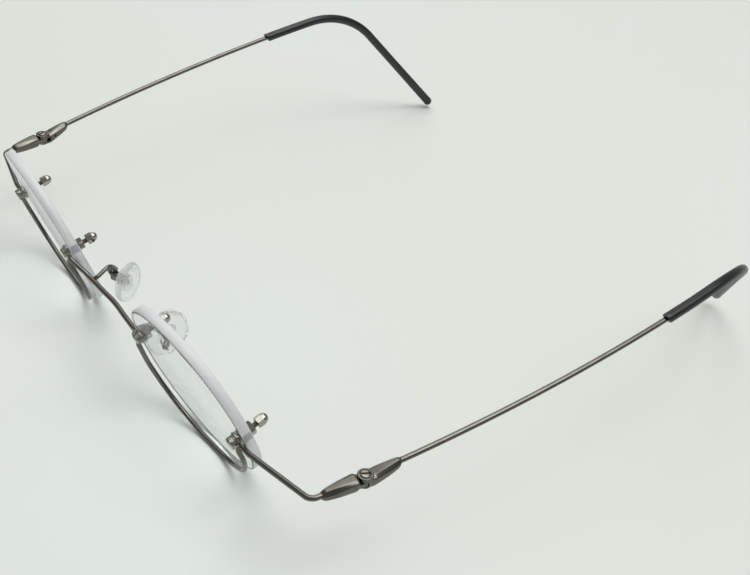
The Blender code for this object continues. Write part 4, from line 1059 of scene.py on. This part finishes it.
pad = dims(spacing=18.0, back=11.2, height=13.4, long=10.0, wide=7.4, thick=1.6, splay=21 * deg, lean=4 * deg,
           insertLong=3.6, insertWide=2.4, insertThick=0.35, lugThick=0.8, lugRadius=0.62, lugReach=2.3,
           pin=0.6, boxWall=0.35, boxHigh=1.7, boxMouth=0.7, arm=0.9, rise=4.35, forward=2.35, inward=1.75,
           elbow=1.9, armTurns=24, armSteps=20, armSpacing=0.2, boxEased=(0.14, 3), pinSoft=0.06,
           insertSoft=0.1, insertEased=0.05, webWide=0.98, webLong=0.97, soft=0.16, egg=0.08)
padFace = vec(-cos(pad.splay) * cos(pad.lean), sin(pad.splay), -cos(pad.splay) * sin(pad.lean))
padUp = unit(vec(0, 0, 1) - padFace * padFace[2])
padAcross = np.cross(padUp, padFace)
padAxes = (padAcross, padUp, padFace)
pinAxes = (padUp, padFace, padAcross)
padSeat = pad.lugReach + pad.insertThick + seat
padPin = vec(pad.spacing / 2, pad.back, pad.height) - padFace * (padSeat + pad.thick / 2)
boxGap = pad.lugThick / 2 + bore
boxHalf = boxGap + pad.boxWall
boxFloor = pad.lugRadius + 2 * bore
pinBore = disc(pad.pin / 2 + bore, -3, 3, padPin, pinAxes)


def padArmShell():
    # from the bridge up and over to the back of the pad box
    path = bridgePath()[0]
    root = path[np.argmin(np.abs(path[:, 0] - bridgeSize.armAt))]
    d = pad.arm
    start = root + vec(0, wire.frame / 2 + seat, 0)
    floor = padPin - padFace * (boxFloor + pad.boxWall + seat)
    crown = padPin + vec(-pad.inward, -pad.forward, pad.rise)
    elbow = padPin + vec(0, 0, pad.elbow)
    knots = [start, start + vec(0, d, d / 2), crown, elbow, floor - padFace * d + padUp * d,
             floor - padFace * d * 0.5, floor]
    line, _ = evenly(smoothPath(knots, pad.armSteps), pad.armSpacing)
    return tube(line, d / 2, d / 2, hint=vec(1, 0, 0), count=pad.armTurns)


def padBox(name):
    # a block about the pin, hollowed from the pad's side, with the pin's bore
    half, back = pad.boxHigh / 2, boxFloor + pad.boxWall
    block = boxShell((-boxHalf, -half, -back), (boxHalf, half, pad.boxMouth), padPin, padAxes)
    box = makeMesh(name, [block], [gunmetalWire])
    hollow = boxShell((-boxGap, -pad.boxHigh, -boxFloor), (boxGap, pad.boxHigh, 3), padPin, padAxes)
    carve(box, hollow, pinBore)
    return easeEdges(box, *pad.boxEased)


def padPinShell():
    # a pin as long as the box is wide
    radius = pad.pin / 2
    profile = [(0, -boxHalf), (radius, -boxHalf), (radius, boxHalf), (0, boxHalf)]
    return turned(roundCorners(profile, pad.pinSoft)[1:-1], padPin, pinAxes, 32)


def padInsert(name):
    # plate: a superellipse of power 4; then the web and the round lug with the pin's bore
    low, top = pad.lugReach, pad.lugReach + pad.insertThick
    turn = circle(64)
    profile = roundCorners([(0.1, low), (1.0, low), (1.0, top), (0.1, top)], pad.insertSoft, 3)
    x = np.sign(np.cos(turn)) * np.abs(np.cos(turn)) ** 0.5 * pad.insertWide / 2
    y = np.sign(np.sin(turn)) * np.abs(np.sin(turn)) ** 0.5 * pad.insertLong / 2
    plate = np.stack([profile[:, :1] * x, profile[:, :1] * y, profile[:, 1:2] + 0 * turn], -1)
    insert = makeMesh(name, [shell(inFrame(plate, padPin, padAxes))], [clearInsert])
    # the web is a hair slimmer than the round end, so that no two faces fall together
    lug = pad.lugThick / 2
    web, webHalf = lug * pad.webWide, pad.lugRadius * pad.webLong
    webTop = low + pad.insertThick / 2
    carve(insert, boxShell((-web, -webHalf, 0), (web, webHalf, webTop), padPin, padAxes),
          disc(pad.lugRadius, -lug, lug, padPin, pinAxes, 40), operation="UNION")
    carve(insert, pinBore)
    return easeEdges(insert, pad.insertEased)


# side of the moulded pad: (share of the outline, share of the thickness), from the flat back to the crown
padSide = ((0.3, 0.0), (1.0, 0.0), (1.0, 0.36), (0.9, 0.68), (0.62, 0.93), (0.3, 1.0), (0.02, 1.01))


def padShell():
    # rings shrink from the flat back over a rounded side to a low crown; x swells upwards like an egg
    turn = circle(96)
    profile = roundCorners(padSide, pad.soft, 5)
    x = pad.wide / 2 * profile[:, :1] * np.cos(turn) * (1 + pad.egg * np.sin(turn))
    y = pad.long / 2 * profile[:, :1] * np.sin(turn)
    z = padSeat + pad.thick * profile[:, 1:2] + 0 * turn
    return shell(inFrame(np.stack([x, y, z], -1), padPin, padAxes))


for side, flip in sides:
    body = f"nose_pad_{side}_body"
    arm = makeMesh(f"padArm_{side}", [padArmShell()], [gunmetalWire])
    settle(arm, "front", [f"pad_arm_{side}"], flip)
    settle(padBox(f"padBox_{side}"), "front", [f"pad_box_{side}"], flip)
    pin = makeMesh(f"padPin_{side}", [padPinShell()], [rubbedHead])
    settle(pin, "front", [f"pad_pin_{side}"], flip)
    settle(padInsert(f"padInsert_{side}"), body, [f"pad_insert_{side}"], flip)
    soft = makeMesh(f"nosePad_{side}", [padShell()], [clearSilicone])
    settle(soft, body, [f"nose_pad_{side}"], flip)
print("pads made")


# table top in metres; the room's even light; lamps as (place, size, watts, tint), aimed at the origin
tableHalf = 3.0
roomLight = dims(tint=(0.93, 0.97, 0.95, 1), strength=0.29)
lamps = {
    "keyLight": ((0.42, 0.3, 1.05), 0.8, 4.6, (1.0, 1.0, 0.99)),
    "ceilingLight": ((-0.05, 0.05, 1.3), 1.15, 5.6, (1.0, 1.0, 0.99)),
    "windowLight": ((-0.93, 0.4, 1.1), 1.2, 4.7, (1.0, 0.97, 0.92)),
}


def paleTable():
    # matt laminate table top: one pale greenish white with a barely uneven tone
    m = newMaterial("paleLaminate")
    place = node(m, "ShaderNodeTexCoord")
    cloud = node(m, "ShaderNodeTexNoise", {"Scale": 6.0, "Detail": 2.0}, {"Vector": (place, "Object")})
    tones = [(0.3, "#E2E6E0"), (0.7, "#E4E9E5")]
    tone = node(m, "ShaderNodeValToRGB", {"stops": tones}, {"Fac": (cloud, "Fac")})
    shader = node(m, "ShaderNodeBsdfPrincipled", {"Roughness": 0.6}, {"Base Color": (tone, "Color")})
    return finishMaterial(m, shader)


tableMesh = bpy.data.meshes.new("tableTop")
corners = [(x * tableHalf, y * tableHalf, 0) for x, y in ((-1, -1), (1, -1), (1, 1), (-1, 1))]
tableMesh.from_pydata(corners, [], [(0, 1, 2, 3)])
tableMesh.materials.append(paleTable())
table = bpy.data.objects.new("tableTop", tableMesh)
bpy.context.collection.objects.link(table)

world = bpy.data.worlds.new("softRoom")
world.use_nodes = True
bpy.context.scene.world = world
world.node_tree.nodes["Background"].inputs["Color"].default_value = roomLight.tint
world.node_tree.nodes["Background"].inputs["Strength"].default_value = roomLight.strength

for name, (place, size, watts, tint) in lamps.items():
    lamp = bpy.data.lights.new(name, "AREA")
    lamp.shape, lamp.size = "DISK", size
    lamp.energy, lamp.color = watts, tint
    item = bpy.data.objects.new(name, lamp)
    item.location = place
    item.rotation_euler = (-Vector(place)).to_track_quat("-Z", "Y").to_euler()
    bpy.context.collection.objects.link(item)

# the photograph's camera, solved from marked points: place in millimetres, focal length and shift in pixels
view = dims(place=(156.12, -138.8, 145.86), azimuth=47.69 * deg, elevation=37.99 * deg, roll=8.19 * deg,
            focal=1023.3, shiftY=45.0, width=750.0, sensor=36.0)
camera = bpy.data.cameras.new("photoCamera")
camera.sensor_fit, camera.sensor_width = "HORIZONTAL", view.sensor
camera.lens = view.focal * view.sensor / view.width
camera.shift_y = view.shiftY / view.width
camera.clip_start, camera.clip_end = 0.005, 20.0
cameraItem = bpy.data.objects.new("photoCamera", camera)
bpy.context.collection.objects.link(cameraItem)
turns = ((view.azimuth, "Z"), (pi / 2 - view.elevation, "X"), (view.roll, "Z"))
cameraItem.matrix_world = Matrix.Translation(Vector(view.place) * mm)
for angle, axis in turns:
    cameraItem.matrix_world = cameraItem.matrix_world @ Matrix.Rotation(angle, 4, axis)
bpy.context.scene.camera = cameraItem
bpy.context.scene.view_settings.view_transform = "Standard"
print("light and camera made")
